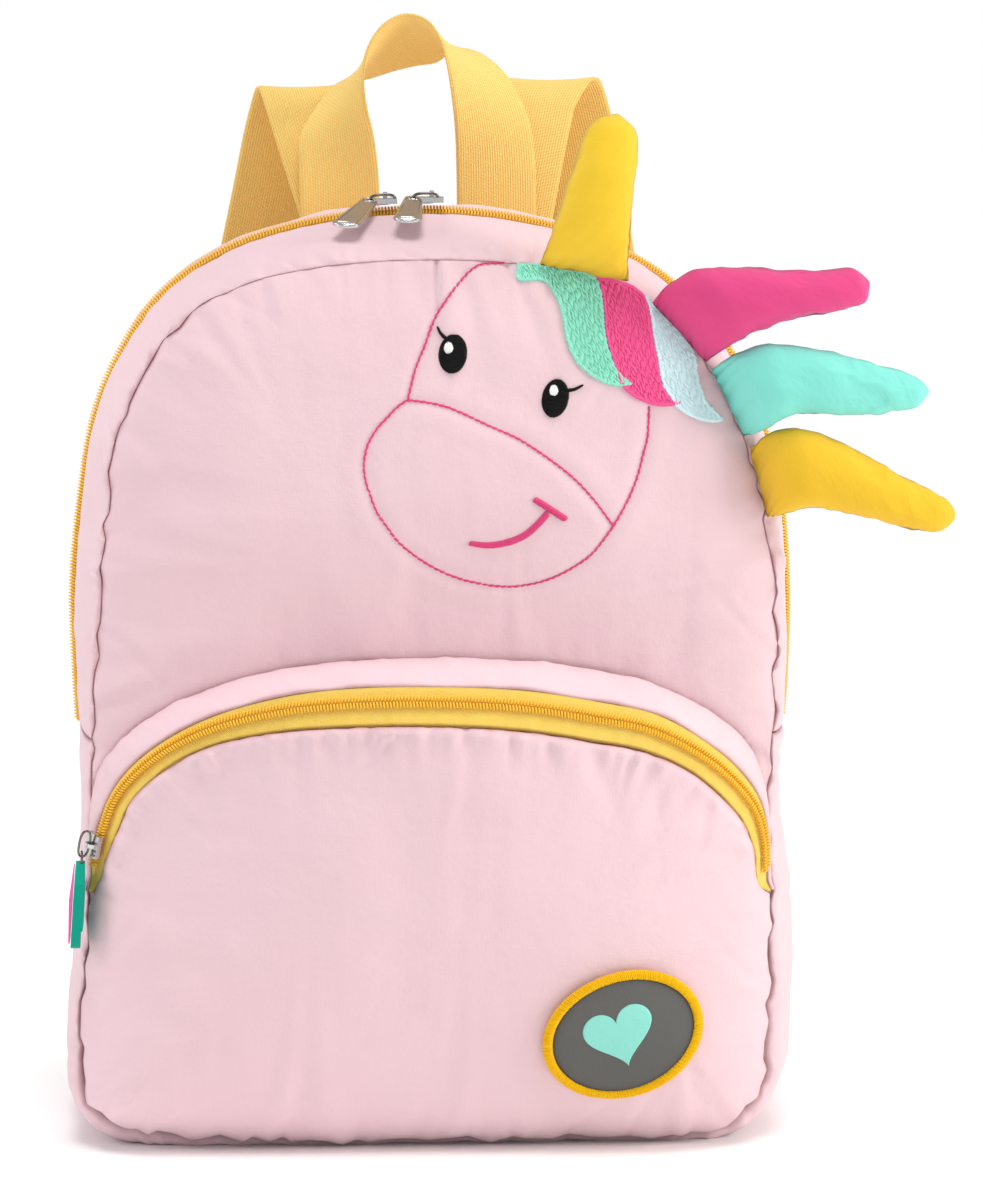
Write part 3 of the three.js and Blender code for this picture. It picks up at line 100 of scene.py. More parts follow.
# Stuffed horn and locks: edge a x z, edge b x z, how far ahead of the seam, half thickness.
STUFFED = {
  "horn": {
    "rows": [
      [41.0, 321.6, 67.6, 316.4, 2.4, 1.2],
      [41.6, 326.0, 69.0, 321.6, 5.4, 4.0],
      [43.3, 335.3, 70.1, 331.2, 8.6, 7.4],
      [46.1, 345.6, 71.1, 340.9, 9.6, 8.6],
      [49.3, 355.1, 72.1, 349.4, 9.8, 8.6],
      [52.9, 365.1, 73.2, 357.9, 9.6, 7.8],
      [55.7, 370.0, 73.2, 365.0, 9.4, 6.6],
      [59.2, 373.2, 71.7, 369.6, 9.2, 4.8],
      [63.2, 374.8, 68.5, 373.3, 9.2, 2.0],
    ],
  },
  "mane_magenta": {
    "rows": [
      [80.4, 307.6, 99.4, 286.6, 2.4, 1.2],
      [83.0, 312.4, 102.6, 288.4, 5.6, 4.4],
      [88.4, 316.6, 107.6, 291.6, 8.6, 7.8],
      [96.4, 319.6, 113.8, 295.4, 9.8, 9.2],
      [107.6, 320.1, 123.8, 298.9, 10.0, 9.4],
      [122.6, 319.3, 136.3, 301.7, 10.0, 8.6],
      [138.0, 318.9, 148.2, 304.2, 9.8, 7.2],
      [150.5, 318.9, 155.3, 307.0, 9.6, 5.2],
      [155.2, 316.7, 157.1, 311.0, 9.6, 2.2],
    ],
  },
  "mane_mint": {
    "rows": [
      [101.9, 283.2, 114.0, 258.6, 2.4, 1.2],
      [105.4, 286.2, 117.2, 259.6, 5.6, 4.4],
      [110.6, 289.6, 121.4, 262.2, 8.8, 8.0],
      [120.3, 292.5, 127.6, 265.9, 10.0, 9.2],
      [134.6, 291.0, 140.2, 266.5, 10.0, 9.0],
      [149.0, 287.7, 152.8, 266.1, 9.8, 7.8],
      [163.5, 283.7, 164.7, 266.8, 9.6, 6.2],
      [174.3, 279.3, 174.0, 269.2, 9.4, 4.2],
      [178.3, 276.8, 177.6, 272.1, 9.4, 2.0],
    ],
  },
  "mane_yellow": {
    "rows": [
      [115.6, 254.6, 122.2, 229.6, 2.4, 1.2],
      [118.6, 258.0, 124.2, 229.4, 5.6, 4.4],
      [124.1, 261.2, 128.4, 230.9, 8.8, 8.0],
      [133.1, 261.9, 135.8, 232.3, 10.0, 9.2],
      [143.9, 257.9, 145.2, 231.5, 10.0, 8.8],
      [156.6, 251.7, 156.1, 228.5, 9.8, 7.8],
      [169.3, 244.4, 167.6, 225.5, 9.6, 6.2],
      [182.0, 237.4, 179.6, 223.7, 9.4, 4.2],
      [188.2, 233.4, 187.5, 225.8, 9.4, 2.0],
    ],
  },
}
# Handle: inner edge x y z, outer edge x y z.
HANDLE = [
  [-15.9, 48.6, 322.5, -45.4, 48.6, 322.5],
  [-15.9, 48.4, 334, -45.5, 48.8, 334],
  [-16.4, 47.2, 348, -45.8, 50.2, 348],
  [-18.2, 43.4, 361.5, -45.4, 52.6, 360.5],
  [-20.9, 38.8, 373, -41.0, 57.2, 368.6],
  [-22.0, 35.2, 384, -31.2, 60.8, 379.4],
  [-20.2, 35.0, 394.6, -18.6, 61.0, 381.8],
  [-14.8, 36.4, 402.8, -9.6, 59.6, 384.6],
  [-6.6, 37.4, 406.6, -1.6, 58.6, 386.6],
  [1.4, 36.4, 404.4, 5.8, 59.6, 387.8],
  [6.4, 34.8, 397, 13.4, 61.2, 392.0],
  [8.8, 35.2, 387.6, 23.4, 60.6, 390.2],
  [10.8, 38.8, 375.4, 33.4, 57.2, 381.0],
  [12.2, 43.4, 362, 40.4, 52.6, 365.4],
  [12.8, 47.2, 348, 42.4, 50.2, 350],
  [13.0, 48.4, 334, 42.7, 48.8, 334],
  [13.0, 48.6, 322.5, 42.8, 48.6, 322.5],
]
# Straps: centre x y z, slope in degrees.
STRAPS = {
  "strap_left": [
    [-28.6, 51.6, 321, 17],
    [-31.2, 52, 333, 17],
    [-36.6, 55.7, 350.4, 17],
    [-41.4, 59.8, 365.8, 17],
    [-43.8, 62.8, 373.6, 12],
    [-45.6, 67.6, 377.4, 1],
    [-47.4, 73.0, 374.4, -9],
    [-51.0, 76.6, 361.6, -12],
    [-56.6, 80.6, 334.4, -10],
    [-66.0, 84.0, 290, -9],
    [-76.0, 87.0, 240, -8],
    [-84.0, 87.0, 190, -7],
    [-90.5, 84.0, 140, -6],
    [-95.5, 78.0, 95, -5],
    [-99.0, 69.0, 60, -5],
    [-101.4, 60.4, 36, -5],
    [-102.6, 56.6, 22, -5],
  ],
  "strap_right": [
    [33.0, 51.6, 321, -11],
    [35.0, 52, 333, -11],
    [38.4, 54.8, 350.4, -11],
    [42.0, 58.8, 366.8, -11],
    [44.6, 62.8, 375.6, -8],
    [49.4, 67.8, 379.8, 0],
    [54.2, 73.0, 376.2, 8],
    [58.6, 76.6, 363.6, 12],
    [64.2, 80.6, 335.4, 10],
    [71.0, 84.0, 290, 8],
    [79.0, 87.0, 240, 7],
    [86.0, 87.0, 190, 6],
    [91.0, 84.0, 140, 5],
    [94.6, 78.0, 95, 4],
    [97.0, 69.0, 60, 4],
    [98.6, 60.4, 36, 4],
    [99.4, 56.6, 22, 4],
  ],
}

# ---------------------------------------------------------------- numbers and curves
MM = 0.001
WALL, BAND = 3.0, 2.5
L_ROW = {"cornerL": 3.5, "bandEndL": 8.35, "shoulderL": 14, "shoulderR": 20.35, "bandEndR": 25.4, "cornerR": 31}


def mix(a, b, t):
    return a + (b - a) * t


def smooth(a, b, v):
    t = np.clip((v - a) / (b - a), 0, 1)
    return t * t * (3 - 2 * t)


def catmull(P, t, closed=False):
    """Centripetal spline through P at the shares t, the same as the part's source uses."""
    P, t = np.asarray(P, float), np.atleast_1d(np.asarray(t, float))
    n = len(P)
    p = (n if closed else n - 1) * t
    i = np.floor(p).astype(int)
    w = p - i
    if closed:
        p0, p1, p2, p3 = (P[(i + k) % n] for k in (-1, 0, 1, 2))
    else:
        end = i >= n - 1
        i, w = np.where(end, n - 2, i), np.where(end, 1.0, w)
        Q = np.vstack([2 * P[0] - P[1], P, 2 * P[-1] - P[-2]])
        p0, p1, p2, p3 = (Q[i + k] for k in (0, 1, 2, 3))
    d = [np.sqrt(np.linalg.norm(b - a, axis=1)) for a, b in ((p0, p1), (p1, p2), (p2, p3))]
    d1 = np.where(d[1] < 1e-4, 1.0, d[1])
    d0, d2 = np.where(d[0] < 1e-4, d1, d[0]), np.where(d[2] < 1e-4, d1, d[2])
    d0, d1, d2, w = d0[:, None], d1[:, None], d2[:, None], w[:, None]
    a = ((p1 - p0) / d0 - (p2 - p0) / (d0 + d1) + (p2 - p1) / d1) * d1
    b = ((p2 - p1) / d1 - (p3 - p1) / (d1 + d2) + (p3 - p2) / d2) * d1
    return p1 + a * w + (-3 * p1 + 3 * p2 - 2 * a - b) * w**2 + (2 * p1 - 2 * p2 + a + b) * w**3


def unit(v):
    return v / np.maximum(np.linalg.norm(v, axis=-1, keepdims=True), 1e-9)


def lattice(n, seed):
    return np.random.default_rng(seed).uniform(-1, 1, n)


def noise1(s, size, seed):
    """Smooth random curve along s with bumps about that long."""
    v = lattice(1024, seed)
    p = np.asarray(s, float) / size * 2
    i = np.floor(p).astype(int)
    t = p - i
    a, b, c, d = (v[(i + k) % 1024] for k in (-1, 0, 1, 2))
    return 0.5 * (2 * b + (c - a) * t + (2 * a - 5 * b + 4 * c - d) * t**2 + (3 * b - a - 3 * c + d) * t**3)


def noise2(x, z, size, seed):
    v = lattice(64 * 64, seed).reshape(64, 64)
    x, z = np.asarray(x, float) / size * 2 + 200, np.asarray(z, float) / size * 2 + 200
    i, j = np.floor(x).astype(int), np.floor(z).astype(int)
    u, w = x - i, z - j
    u, w = u * u * u * (u * (u * 6 - 15) + 10), w * w * w * (w * (w * 6 - 15) + 10)
    g = lambda a, b: v[(i + a) % 64, (j + b) % 64]
    return mix(mix(g(0, 0), g(1, 0), u), mix(g(0, 1), g(1, 1), u), w)


# ---------------------------------------------------------------- the front seam
SUB = 60
NF = len(SEAM) * SUB
_f = catmull([[r[1], r[3], r[2]] for r in SEAM], np.arange(NF) / NF, True)
FX, FW, FZ = _f[:, 0], _f[:, 1], _f[:, 2]
_t = unit(np.stack([np.roll(FX, -1) - np.roll(FX, 1), np.roll(FZ, -1) - np.roll(FZ, 1)], 1))
_n = np.stack([-_t[:, 1], _t[:, 0]], 1)
_n = unit(sum(np.roll(_n, k, 0) for k in range(-24, 25)))
NX, NZ = _n[:, 0], _n[:, 1]
STEP = np.hypot(np.roll(FX, -1) - FX, np.roll(FZ, -1) - FZ)
TURN = np.hypot(np.roll(NX, -1) - NX, np.roll(NZ, -1) - NZ)
LEN = STEP.sum()
ARC = np.concatenate([[0], np.cumsum(STEP)[:-1]])


def seam_front(z):
    return mix(-47.0, -40.0, z / 320)


def seam_back(z):
    return mix(50.0, 46.0, z / 320)


class Stations:
    """Places on the seam at float indices f of the fine curve."""

    def __init__(self, f):
        f = np.asarray(f, float)
        i = np.floor(f).astype(int)
        w = f - i
        at = lambda v: mix(v[i % NF], v[(i + 1) % NF], w)
        self.x, self.z, self.swell = at(FX), at(FZ), at(FW)
        n = unit(np.stack([at(NX), at(NZ)], 1))
        self.nx, self.nz = n[:, 0], n[:, 1]
        self.s = ARC[i % NF] + LEN * np.floor(i / NF) + w * STEP[i % NF]


def stations(a, b, count, bend=24.0):
    i = np.arange(round(a * SUB), round(b * SUB) + 1)
    weight = STEP[i[:-1] % NF] + bend * TURN[i[:-1] % NF]
    sums = np.concatenate([[0], np.cumsum(weight)])
    return Stations(np.interp(np.linspace(0, sums[-1], count + 1), sums, i.astype(float)))


def nearest_seam(x, z):
    """Distance inside the seam (negative outside) and arc length of the nearest place."""
    x, z = np.ravel(x), np.ravel(z)
    dist, arc = np.empty(len(x)), np.empty(len(x))
    Q = np.stack([FX, FZ], 1)
    for k in range(0, len(x), 8000):
        P = np.stack([x[k:k + 8000], z[k:k + 8000]], 1)
        D = (P**2).sum(1)[:, None] - 2 * P @ Q.T + (Q**2).sum(1)[None]
        i = D.argmin(1)
        v = P - Q[i]
        along = (v * _t[i]).sum(1)
        across = -(v * _n[i]).sum(1)
        off = np.sqrt(np.maximum((v**2).sum(1) - np.clip(along, -0.6, 0.6) ** 2, 0))
        dist[k:k + 8000] = np.where(across >= 0, off, -off)
        arc[k:k + 8000] = ARC[i] + np.clip(along, -0.6, 0.6)
    return dist, arc


# Distance field on a 1 mm raster; its ridges in the middle of the panel are softened.
GX0, GZ0, GW, GH = -150.0, -20.0, 300, 370
_gx, _gz = np.meshgrid(GX0 + np.arange(GW), GZ0 + np.arange(GH), indexing="ij")
_d, _ = nearest_seam(_gx, _gz)
_d = _d.reshape(GW, GH)
_kx, _kz = np.meshgrid(np.fft.fftfreq(GW), np.fft.rfftfreq(GH), indexing="ij")
_soft = np.fft.irfft2(np.fft.rfft2(_d) * np.exp(-2 * (math.pi * 10) ** 2 * (_kx**2 + _kz**2)), s=(GW, GH))
DIST = mix(_d, _soft, smooth(10, 34, _d))


def raster(field, x, z):
    u = np.clip(np.asarray(x, float) - GX0, 0, GW - 1.001)
    v = np.clip(np.asarray(z, float) - GZ0, 0, GH - 1.001)
    i, j = u.astype(int), v.astype(int)
    u, v = u - i, v - j
    return mix(mix(field[i, j], field[i + 1, j], u), mix(field[i, j + 1], field[i + 1, j + 1], u), v)


def seam_distance(x, z):
    return np.maximum(raster(DIST, x, z), 0)


def puff(d, roll, crown):
    return roll[0] * (1 - np.exp(-d / roll[1])) + crown[0] * (1 - np.exp(-d / crown[1]))


ARCH_BAND = [(r[1], r[7], r[2]) for r in ARCH]
ARCH_TOP = [(r[3], r[7], r[4]) for r in ARCH]
ARCH_LOW = [(r[5], r[7], r[6]) for r in ARCH]
_b = catmull(ARCH_BAND, np.linspace(0, 1, 600))


def band_line(x):
    return np.interp(x, _b[:, 0], _b[:, 2])


def front_depth(x, z):
    d = seam_distance(x, z)
    top = smooth(285, 318, z)
    full = mix(2.6, 1.2, top) * (1 - np.exp(-d / 6)) + mix(14.5, 15.5, top) * (1 - np.exp(-d / 45))
    low = puff(d, (2.4, 6), (4.5, 45))
    return seam_front(z) - mix(low, full, smooth(0, 62, z - band_line(x)))


def back_depth(x, z):
    return seam_back(z) + puff(seam_distance(x, z), (4, 6), (3, 40))


def pocket_depth(x, z):
    d = seam_distance(x, z)
    return seam_front(z) - WALL - 0.3 - puff(d, (9, 6), (1, 1)) - (30 * mix(1.06, 0.97, np.clip(z / 160, 0, 1))) * (1 - np.exp(-d / 50)) + (1 - np.exp(-d))


def collection():
    return bpy.context.scene.collection


def make(name, points, faces, material=None, uv=None, attrs=None, replaces=(), flat=False, close=True):
    """A mesh object riding on the CAD's root. points in mm; faces is an array or a list of arrays; uv in mm."""
    points = np.asarray(points, float)
    faces = [np.asarray(f, int) for f in (faces if isinstance(faces, list) else [faces]) if len(f)]
    if close:
        vol = 0.0
        for f in faces:
            for k in range(1, f.shape[1] - 1):
                a, b, c = points[f[:, 0]], points[f[:, k]], points[f[:, k + 1]]
                vol += (a * np.cross(b, c)).sum()
        if vol < 0:
            faces = [f[:, ::-1] for f in faces]
    me = bpy.data.meshes.new(name)
    me.vertices.add(len(points))
    me.vertices.foreach_set("co", (points * MM).astype(np.float32).ravel())
    corner = np.concatenate([f.ravel() for f in faces])
    sizes = np.concatenate([np.full(len(f), f.shape[1]) for f in faces])
    me.loops.add(len(corner))
    me.loops.foreach_set("vertex_index", corner.astype(np.int32))
    me.polygons.add(len(sizes))
    me.polygons.foreach_set("loop_start", np.concatenate([[0], np.cumsum(sizes)[:-1]]).astype(np.int32))
    if not flat:
        me.polygons.foreach_set("use_smooth", np.ones(len(sizes), bool))
    if uv is not None:
        layer = me.uv_layers.new(name="uv")
        layer.data.foreach_set("uv", np.asarray(uv, float)[corner].astype(np.float32).ravel())
    for key, v in (attrs or {}).items():
        me.attributes.new(key, "FLOAT", "POINT").data.foreach_set("value", np.asarray(v, np.float32).ravel())
    me.update(calc_edges=True)
    me.validate()
    ob = bpy.data.objects.new(name, me)
    collection().objects.link(ob)
    if material:
        me.materials.append(material)
    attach(ob, "root")
    if replaces:
        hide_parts(*replaces)
    return ob


def grid_faces(n, m, ring_n=False, ring_m=False, base=0):
    i, j = np.meshgrid(np.arange(n if ring_n else n - 1), np.arange(m if ring_m else m - 1), indexing="ij")
    i, j = i.ravel(), j.ravel()
    k, l = (i + 1) % n, (j + 1) % m
    return base + np.stack([i * m + j, k * m + j, k * m + l, i * m + l], 1)


def grid_normals(G):
    """Normals of a grid of points (n, m, 3)."""
    return unit(np.cross(np.gradient(G, axis=0), np.gradient(G, axis=1)))


def shell(outer, inner):
    """Closed wall from two grids (n, m, 3)."""
    n, m, _ = outer.shape
    P = np.concatenate([outer.reshape(-1, 3), inner.reshape(-1, 3)])
    F = grid_faces(n, m)
    N = n * m
    edge = np.concatenate([np.arange(m - 1), np.arange(n - 1) * m + m - 1, N - 1 - np.arange(m - 1), (n - 1 - np.arange(n - 1)) * m])
    nxt = np.concatenate([edge[1:], edge[:1]])
    rim = np.stack([edge, nxt, nxt + N, edge + N], 1)
    rim_flip = rim[:, ::-1]
    # the first face's edge runs from i*m+j to (i+1)*m+j, so the loop over the first row runs against it
    return P, [F, F[:, ::-1] + N, rim_flip[:, ::-1]]


def loft(rings, cap=True):
    """Closed rings (n, m, 3) joined into a body whose ends are closed by a middle point."""
    n, m, _ = rings.shape
    P = rings.reshape(-1, 3)
    F = grid_faces(n, m, ring_m=True)
    if not cap:
        return P, [F]
    mid = np.stack([rings[0].mean(0), rings[-1].mean(0)])
    j = np.arange(m)
    l = (j + 1) % m
    a, b = len(P), len(P) + 1
    tris = np.concatenate([np.stack([j, l, np.full(m, a)], 1)[:, ::1], np.stack([(n - 1) * m + l, (n - 1) * m + j, np.full(m, b)], 1)])
    return np.concatenate([P, mid]), [F, tris]


def copies(base_p, base_f, places, axes):
    """Many copies of a small mesh: base points (k, 3) in frames (n, 3) and (n, 3, 3), whose rows are the axes."""
    k = len(base_p)
    P = places[:, None, :] + np.einsum("kj,njc->nkc", base_p, axes)
    F = [(f[None] + (np.arange(len(places)) * k)[:, None, None]).reshape(-1, f.shape[1]) for f in base_f]
    return P.reshape(-1, 3), F


def tube(line, radius, around=8, squash=1.0, up=None, taper=0.0):
    """Round thread along a line of points (n, 3)."""
    line = np.asarray(line, float)
    t = unit(np.gradient(line, axis=0))
    ref = np.asarray(up if up is not None else (0, -1, 0), float)
    side = unit(np.cross(t, ref))
    out = unit(np.cross(side, t))
    w = 2 * math.pi * (np.arange(around) + 0.5) / around
    r = np.broadcast_to(radius, (len(line),)).astype(float).copy()
    if taper:
        k = np.linspace(0, 1, len(line))
        r *= np.clip(np.minimum(k, 1 - k) / taper, 0.25, 1) ** 0.5
    rings = line[:, None] + r[:, None, None] * (np.cos(w)[None, :, None] * side[:, None] + squash * np.sin(w)[None, :, None] * out[:, None])
    return rings


# ---------------------------------------------------------------- materials
def lin(hexa):
    v = [int(hexa[k:k + 2], 16) / 255 for k in (1, 3, 5)]
    return tuple(c / 12.92 if c <= 0.04045 else ((c + 0.055) / 1.055) ** 2.4 for c in v) + (1.0,)


class Mat:
    """A Principled material built node by node."""

    def __init__(self, name, colour, rough=0.8, metal=0.0, spec=0.4, sheen=0.0):
        self.m = bpy.data.materials.new(name)
        self.m.use_nodes = True
        self.t = self.m.node_tree
        self.b = next(n for n in self.t.nodes if n.type == "BSDF_PRINCIPLED")
        self.b.inputs["Roughness"].default_value = rough
        self.b.inputs["Metallic"].default_value = metal
        self.b.inputs["Specular IOR Level"].default_value = spec
        self.b.inputs["Sheen Weight"].default_value = sheen
        self.b.inputs["Sheen Roughness"].default_value = 0.5
        self.b.inputs["Base Color"].default_value = lin(colour)
        self.m.diffuse_color = lin(colour)
        self.uv = None

    def put(self, socket, v):
        if isinstance(v, bpy.types.NodeSocket):
            self.t.links.new(v, socket)
        elif isinstance(v, str):
            socket.default_value = lin(v)
        else:
            socket.default_value = v

    def node(self, kind, ins=None, **props):
        n = self.t.nodes.new(kind)
        for k, v in props.items():
            setattr(n, k, v)
        for k, v in (ins or {}).items():
            self.put(n.inputs[k], v)
        return n

    def math(self, op, a, b=0.0, c=0.0):
        return self.node("ShaderNodeMath", {0: a, 1: b, 2: c}, operation=op).outputs[0]

    def coords(self):
        if self.uv is None:
            self.uv = self.node("ShaderNodeUVMap", uv_map="uv").outputs[0]
        return self.uv

    def scaled(self, x, y, z=1.0, source=None):
        return self.node("ShaderNodeMapping", {"Vector": source or self.coords(), "Scale": (x, y, z)}).outputs[0]

    def noise(self, vector, scale=1.0, detail=2.0, rough=0.5):
        return self.node("ShaderNodeTexNoise", {"Vector": vector, "Scale": scale, "Detail": detail, "Roughness": rough}).outputs["Fac"]

    def mixc(self, fac, a, b, mode="MIX"):
        n = self.node("ShaderNodeMix", data_type="RGBA", blend_type=mode)
        self.put(n.inputs[0], fac)
        self.put(n.inputs[6], a)
        self.put(n.inputs[7], b)
        return n.outputs[2]

    def ramp(self, fac, lo, hi, a=0.0, b=1.0):
        return self.node("ShaderNodeMapRange", {"Value": fac, "From Min": lo, "From Max": hi, "To Min": a, "To Max": b}).outputs[0]

    def attr(self, name):
        return self.node("ShaderNodeAttribute", attribute_name=name).outputs["Fac"]

    def bump(self, height, distance, strength=1.0, normal=None):
        ins = {"Height": height, "Distance": distance, "Strength": strength}
        if normal:
            ins["Normal"] = normal
        return self.node("ShaderNodeBump", ins).outputs[0]

    def colour(self, v):
        self.put(self.b.inputs["Base Color"], v)

    def normal(self, v):
        self.t.links.new(v, self.b.inputs["Normal"])


def fabric(name, colour, shade, seam, threads=0.42, weave=0.00006, fuzz=0.00012, rough=0.82, sheen=0.12):
    """Plain-woven cloth: fine threads both ways, soft crumple, and painted shade in and beside the seams, mixed in by a
    point attribute towards the colour given as seam.
    """
    m = Mat(name, colour, rough=rough, sheen=sheen, spec=0.25)
    warp = m.noise(m.scaled(1 / threads, 0.12 / threads), 1.0, 1.0)
    weft = m.noise(m.scaled(0.12 / threads, 1 / threads), 1.0, 1.0)
    h = m.math("ADD", warp, weft)
    crumple = m.noise(m.scaled(0.16, 0.16), 1.0, 3.0, 0.55)
    blotch = m.noise(m.scaled(0.012, 0.012), 1.0, 2.0)
    c = m.mixc(m.ramp(blotch, 0.3, 0.7, 0.0, 0.35), colour, shade)
    c = m.mixc(m.ramp(h, 0.7, 1.3, 0.0, 0.10), c, shade)
    # painted shade: the point attribute darkens the cloth towards the seam colour in seams, creases and crevices
    c = m.mixc(m.attr("painted_shade"), c, seam)
    m.colour(c)
    n = m.bump(h, weave)
    n = m.bump(crumple, fuzz * 3, 1.0, n)
    m.normal(n)
    return m


def webbing_mat(name, colour, shade, painted_shade):
    """Ribbed webbing: ribs run along u, v is across; small slanted stitches between them."""
    m = Mat(name, colour, rough=0.75, sheen=0.1, spec=0.3)
    sep = m.node("ShaderNodeSeparateXYZ", {0: m.coords()})
    u, v = sep.outputs[0], sep.outputs[1]
    rib = m.math("SINE", m.math("MULTIPLY", v, 2 * math.pi / 0.92))
    row = m.math("FLOOR", m.math("DIVIDE", v, 0.46))
    shift = m.math("MULTIPLY", m.math("MODULO", row, 2.0), 0.5)
    dash = m.math("SINE", m.math("MULTIPLY", m.math("ADD", m.math("DIVIDE", m.math("ADD", u, m.math("MULTIPLY", v, 0.9)), 1.25), shift), 2 * math.pi))
    h = m.math("ADD", m.math("MULTIPLY", rib, 0.6), m.math("MULTIPLY", dash, 0.4))
    fuzz = m.noise(m.scaled(0.9, 3.0), 1.0, 2.0)
    # painted shade: the hollows between the ribs and dashes get the shade colour
    c = m.mixc(m.ramp(h, -0.9, 0.5, 0.85, 0.0), colour, shade)
    c = m.mixc(m.ramp(fuzz, 0.45, 0.8, 0.0, 0.2), c, shade)
    # painted shade from the point attribute along the edges and on the run behind the bag
    c = m.mixc(m.attr("painted_shade"), c, painted_shade)
    m.colour(c)
    m.normal(m.bump(fuzz, 0.00006, 1.0, m.bump(h, 0.00014)))
    return m


def twill_mat(name, colour, shade, painted_shade):
    m = Mat(name, colour, rough=0.7, spec=0.3, sheen=0.1)
    sep = m.node("ShaderNodeSeparateXYZ", {0: m.coords()})
    u, v = sep.outputs[0], sep.outputs[1]
    line = m.math("SINE", m.math("MULTIPLY", m.math("ADD", u, m.math("MULTIPLY", v, 1.2)), 2 * math.pi / 0.8))
    # painted shade: the grooves of the twill lines get the shade colour
    c = m.mixc(m.ramp(line, -1.0, 1.0, 0.45, 0.0), colour, shade)
    wear = m.noise(m.scaled(0.25, 0.25), 1.0, 2.0)
    c = m.mixc(m.ramp(wear, 0.4, 0.7, 0.0, 0.3), c, shade)
    # painted shade from the point attribute at folds and edges of the tape
    c = m.mixc(m.attr("painted_shade"), c, painted_shade)
    m.colour(c)
    m.normal(m.bump(line, 0.00008))
    return m


def plain_mat(name, colour, rough=0.5, metal=0.0, spec=0.5, grain=0.0, scale=900.0, sheen=0.0, shade=None):
    """Smooth moulded, thread or metal finish with a fine grain in object space."""
    m = Mat(name, colour, rough=rough, metal=metal, spec=spec, sheen=sheen)
    pos = m.node("ShaderNodeTexCoord").outputs["Object"]
    g = m.noise(pos, scale, 2.0)
    if shade:
        m.colour(m.mixc(m.ramp(g, 0.35, 0.7, 0.0, 0.6), colour, shade))
    if grain:
        m.normal(m.bump(g, grain))
    return m


# The fourth colour of each fabric, webbing and twill material is the colour of the painted shade mixed in at seams,
# edges and crevices.
M = {
    "pink": fabric("pink_canvas", "#e8cad0", "#e2bfc6", "#b47c82"),
    "web": webbing_mat("yellow_webbing", "#ffe388", "#fbbd55", "#d18a26"),
    "tape": twill_mat("zip_tape", "#ffdf6e", "#fecb48", "#8a5418"),
    "coil": plain_mat("zip_coil", "#fbca3c", rough=0.36, spec=0.45, grain=0.00002, scale=2500, shade="#eeae1e"),
    "horn": fabric("horn_cloth", "#f0c830", "#e3b823", "#8e6a10", rough=0.7, sheen=0.15),
    "mane_magenta": fabric("mane_magenta", "#df4885", "#cf3a78", "#741a45", rough=0.7, sheen=0.15),
    "mane_mint": fabric("mane_mint", "#86e2d4", "#72d3c3", "#2f7d70", rough=0.7, sheen=0.15),
    "mane_yellow": fabric("mane_yellow", "#ecc02a", "#dfae1e", "#8a620c", rough=0.7, sheen=0.15),
    "field": fabric("patch_field", "#62625f", "#5a5a57", "#2c2c2a", threads=0.3, rough=0.75, sheen=0.05),
    "border": plain_mat("patch_thread", "#f6c400", rough=0.62, spec=0.2, grain=0.00006, scale=1800, shade="#e2a800"),
    "motif": fabric("patch_motif", "#8fdfd0", "#84d4c5", "#4d9d90", threads=0.3, rough=0.6, sheen=0.0),
    "metal": plain_mat("bright_metal", "#c9c8c6", rough=0.24, metal=1.0, grain=0.000015, scale=1500),
    "wire": plain_mat("dark_wire", "#77706c", rough=0.26, metal=1.0, grain=0.00001, scale=1500),
    "inlay": plain_mat("brushed_inlay", "#b9aa9b", rough=0.42, metal=0.85, grain=0.00004, scale=1200, shade="#8f8377"),
    "teal": plain_mat("teal_rubber", "#009c86", rough=0.55, spec=0.15, grain=0.00003, scale=1200),
    "rubber_pink": plain_mat("pink_rubber", "#e458a8", rough=0.45, grain=0.00003, scale=1200),
    "thread_pink": plain_mat("stitch_thread", "#de3a7c", rough=0.5, grain=0.00004, scale=2500, shade="#c92c6a", sheen=0.1),
    "thread_black": plain_mat("black_thread", "#040404", rough=0.6, spec=0.2, grain=0.00004, scale=2500, shade="#0b0b0b"),
    "thread_white": plain_mat("white_thread", "#f4f4f2", rough=0.45, grain=0.00004, scale=2500),
    "thread_mint": plain_mat("mint_thread", "#a2f2da", rough=0.42, grain=0.00004, scale=2500, shade="#7fdcbf"),
    "thread_magenta": plain_mat("magenta_thread", "#ff62a4", rough=0.42, grain=0.00004, scale=2500, shade="#e8468b"),
    "thread_blue": plain_mat("pale_blue_thread", "#e8fcff", rough=0.42, grain=0.00004, scale=2500, shade="#c8eff8"),
    "sew": plain_mat("sewing_thread", "#eabfc6", rough=0.6, grain=0.00004, scale=2500),
    "sew_yellow": plain_mat("sewing_thread_yellow", "#eebd4a", rough=0.6, grain=0.00004, scale=2500),
}
MAT = {k: v.m for k, v in M.items()}


# ---------------------------------------------------------------- puckers along seams
def pucker(s, seed, tilt=0.0):
    return 0.5 * noise1(s + tilt, 6.2, seed) + 0.45 * noise1(s + tilt, 11.0, seed + 1) + 0.28 * noise1(s, 3.9, seed + 2)


def gather(d, s, seed, short=0.75, wide=0.8, near=1.4, reach=8.0, far=26.0):
    """Height of the puckers at a distance d from a seam, at arc length s."""
    tilt = 0.35 * d * noise1(s, 34, seed + 5)
    close = (1 - np.exp(-np.maximum(d, 0) / near)) * np.exp(-np.maximum(d, 0) / reach)
    loose = (1 - np.exp(-np.maximum(d, 0) / 5)) * np.exp(-np.maximum(d, 0) / far)
    strength = 0.65 + 0.5 * noise1(s, 60, seed + 6)
    return short * strength * close * pucker(s, seed, tilt) * 2.5 + 1.3 * wide * loose * noise1(s + 2 * tilt, 24, seed + 3)


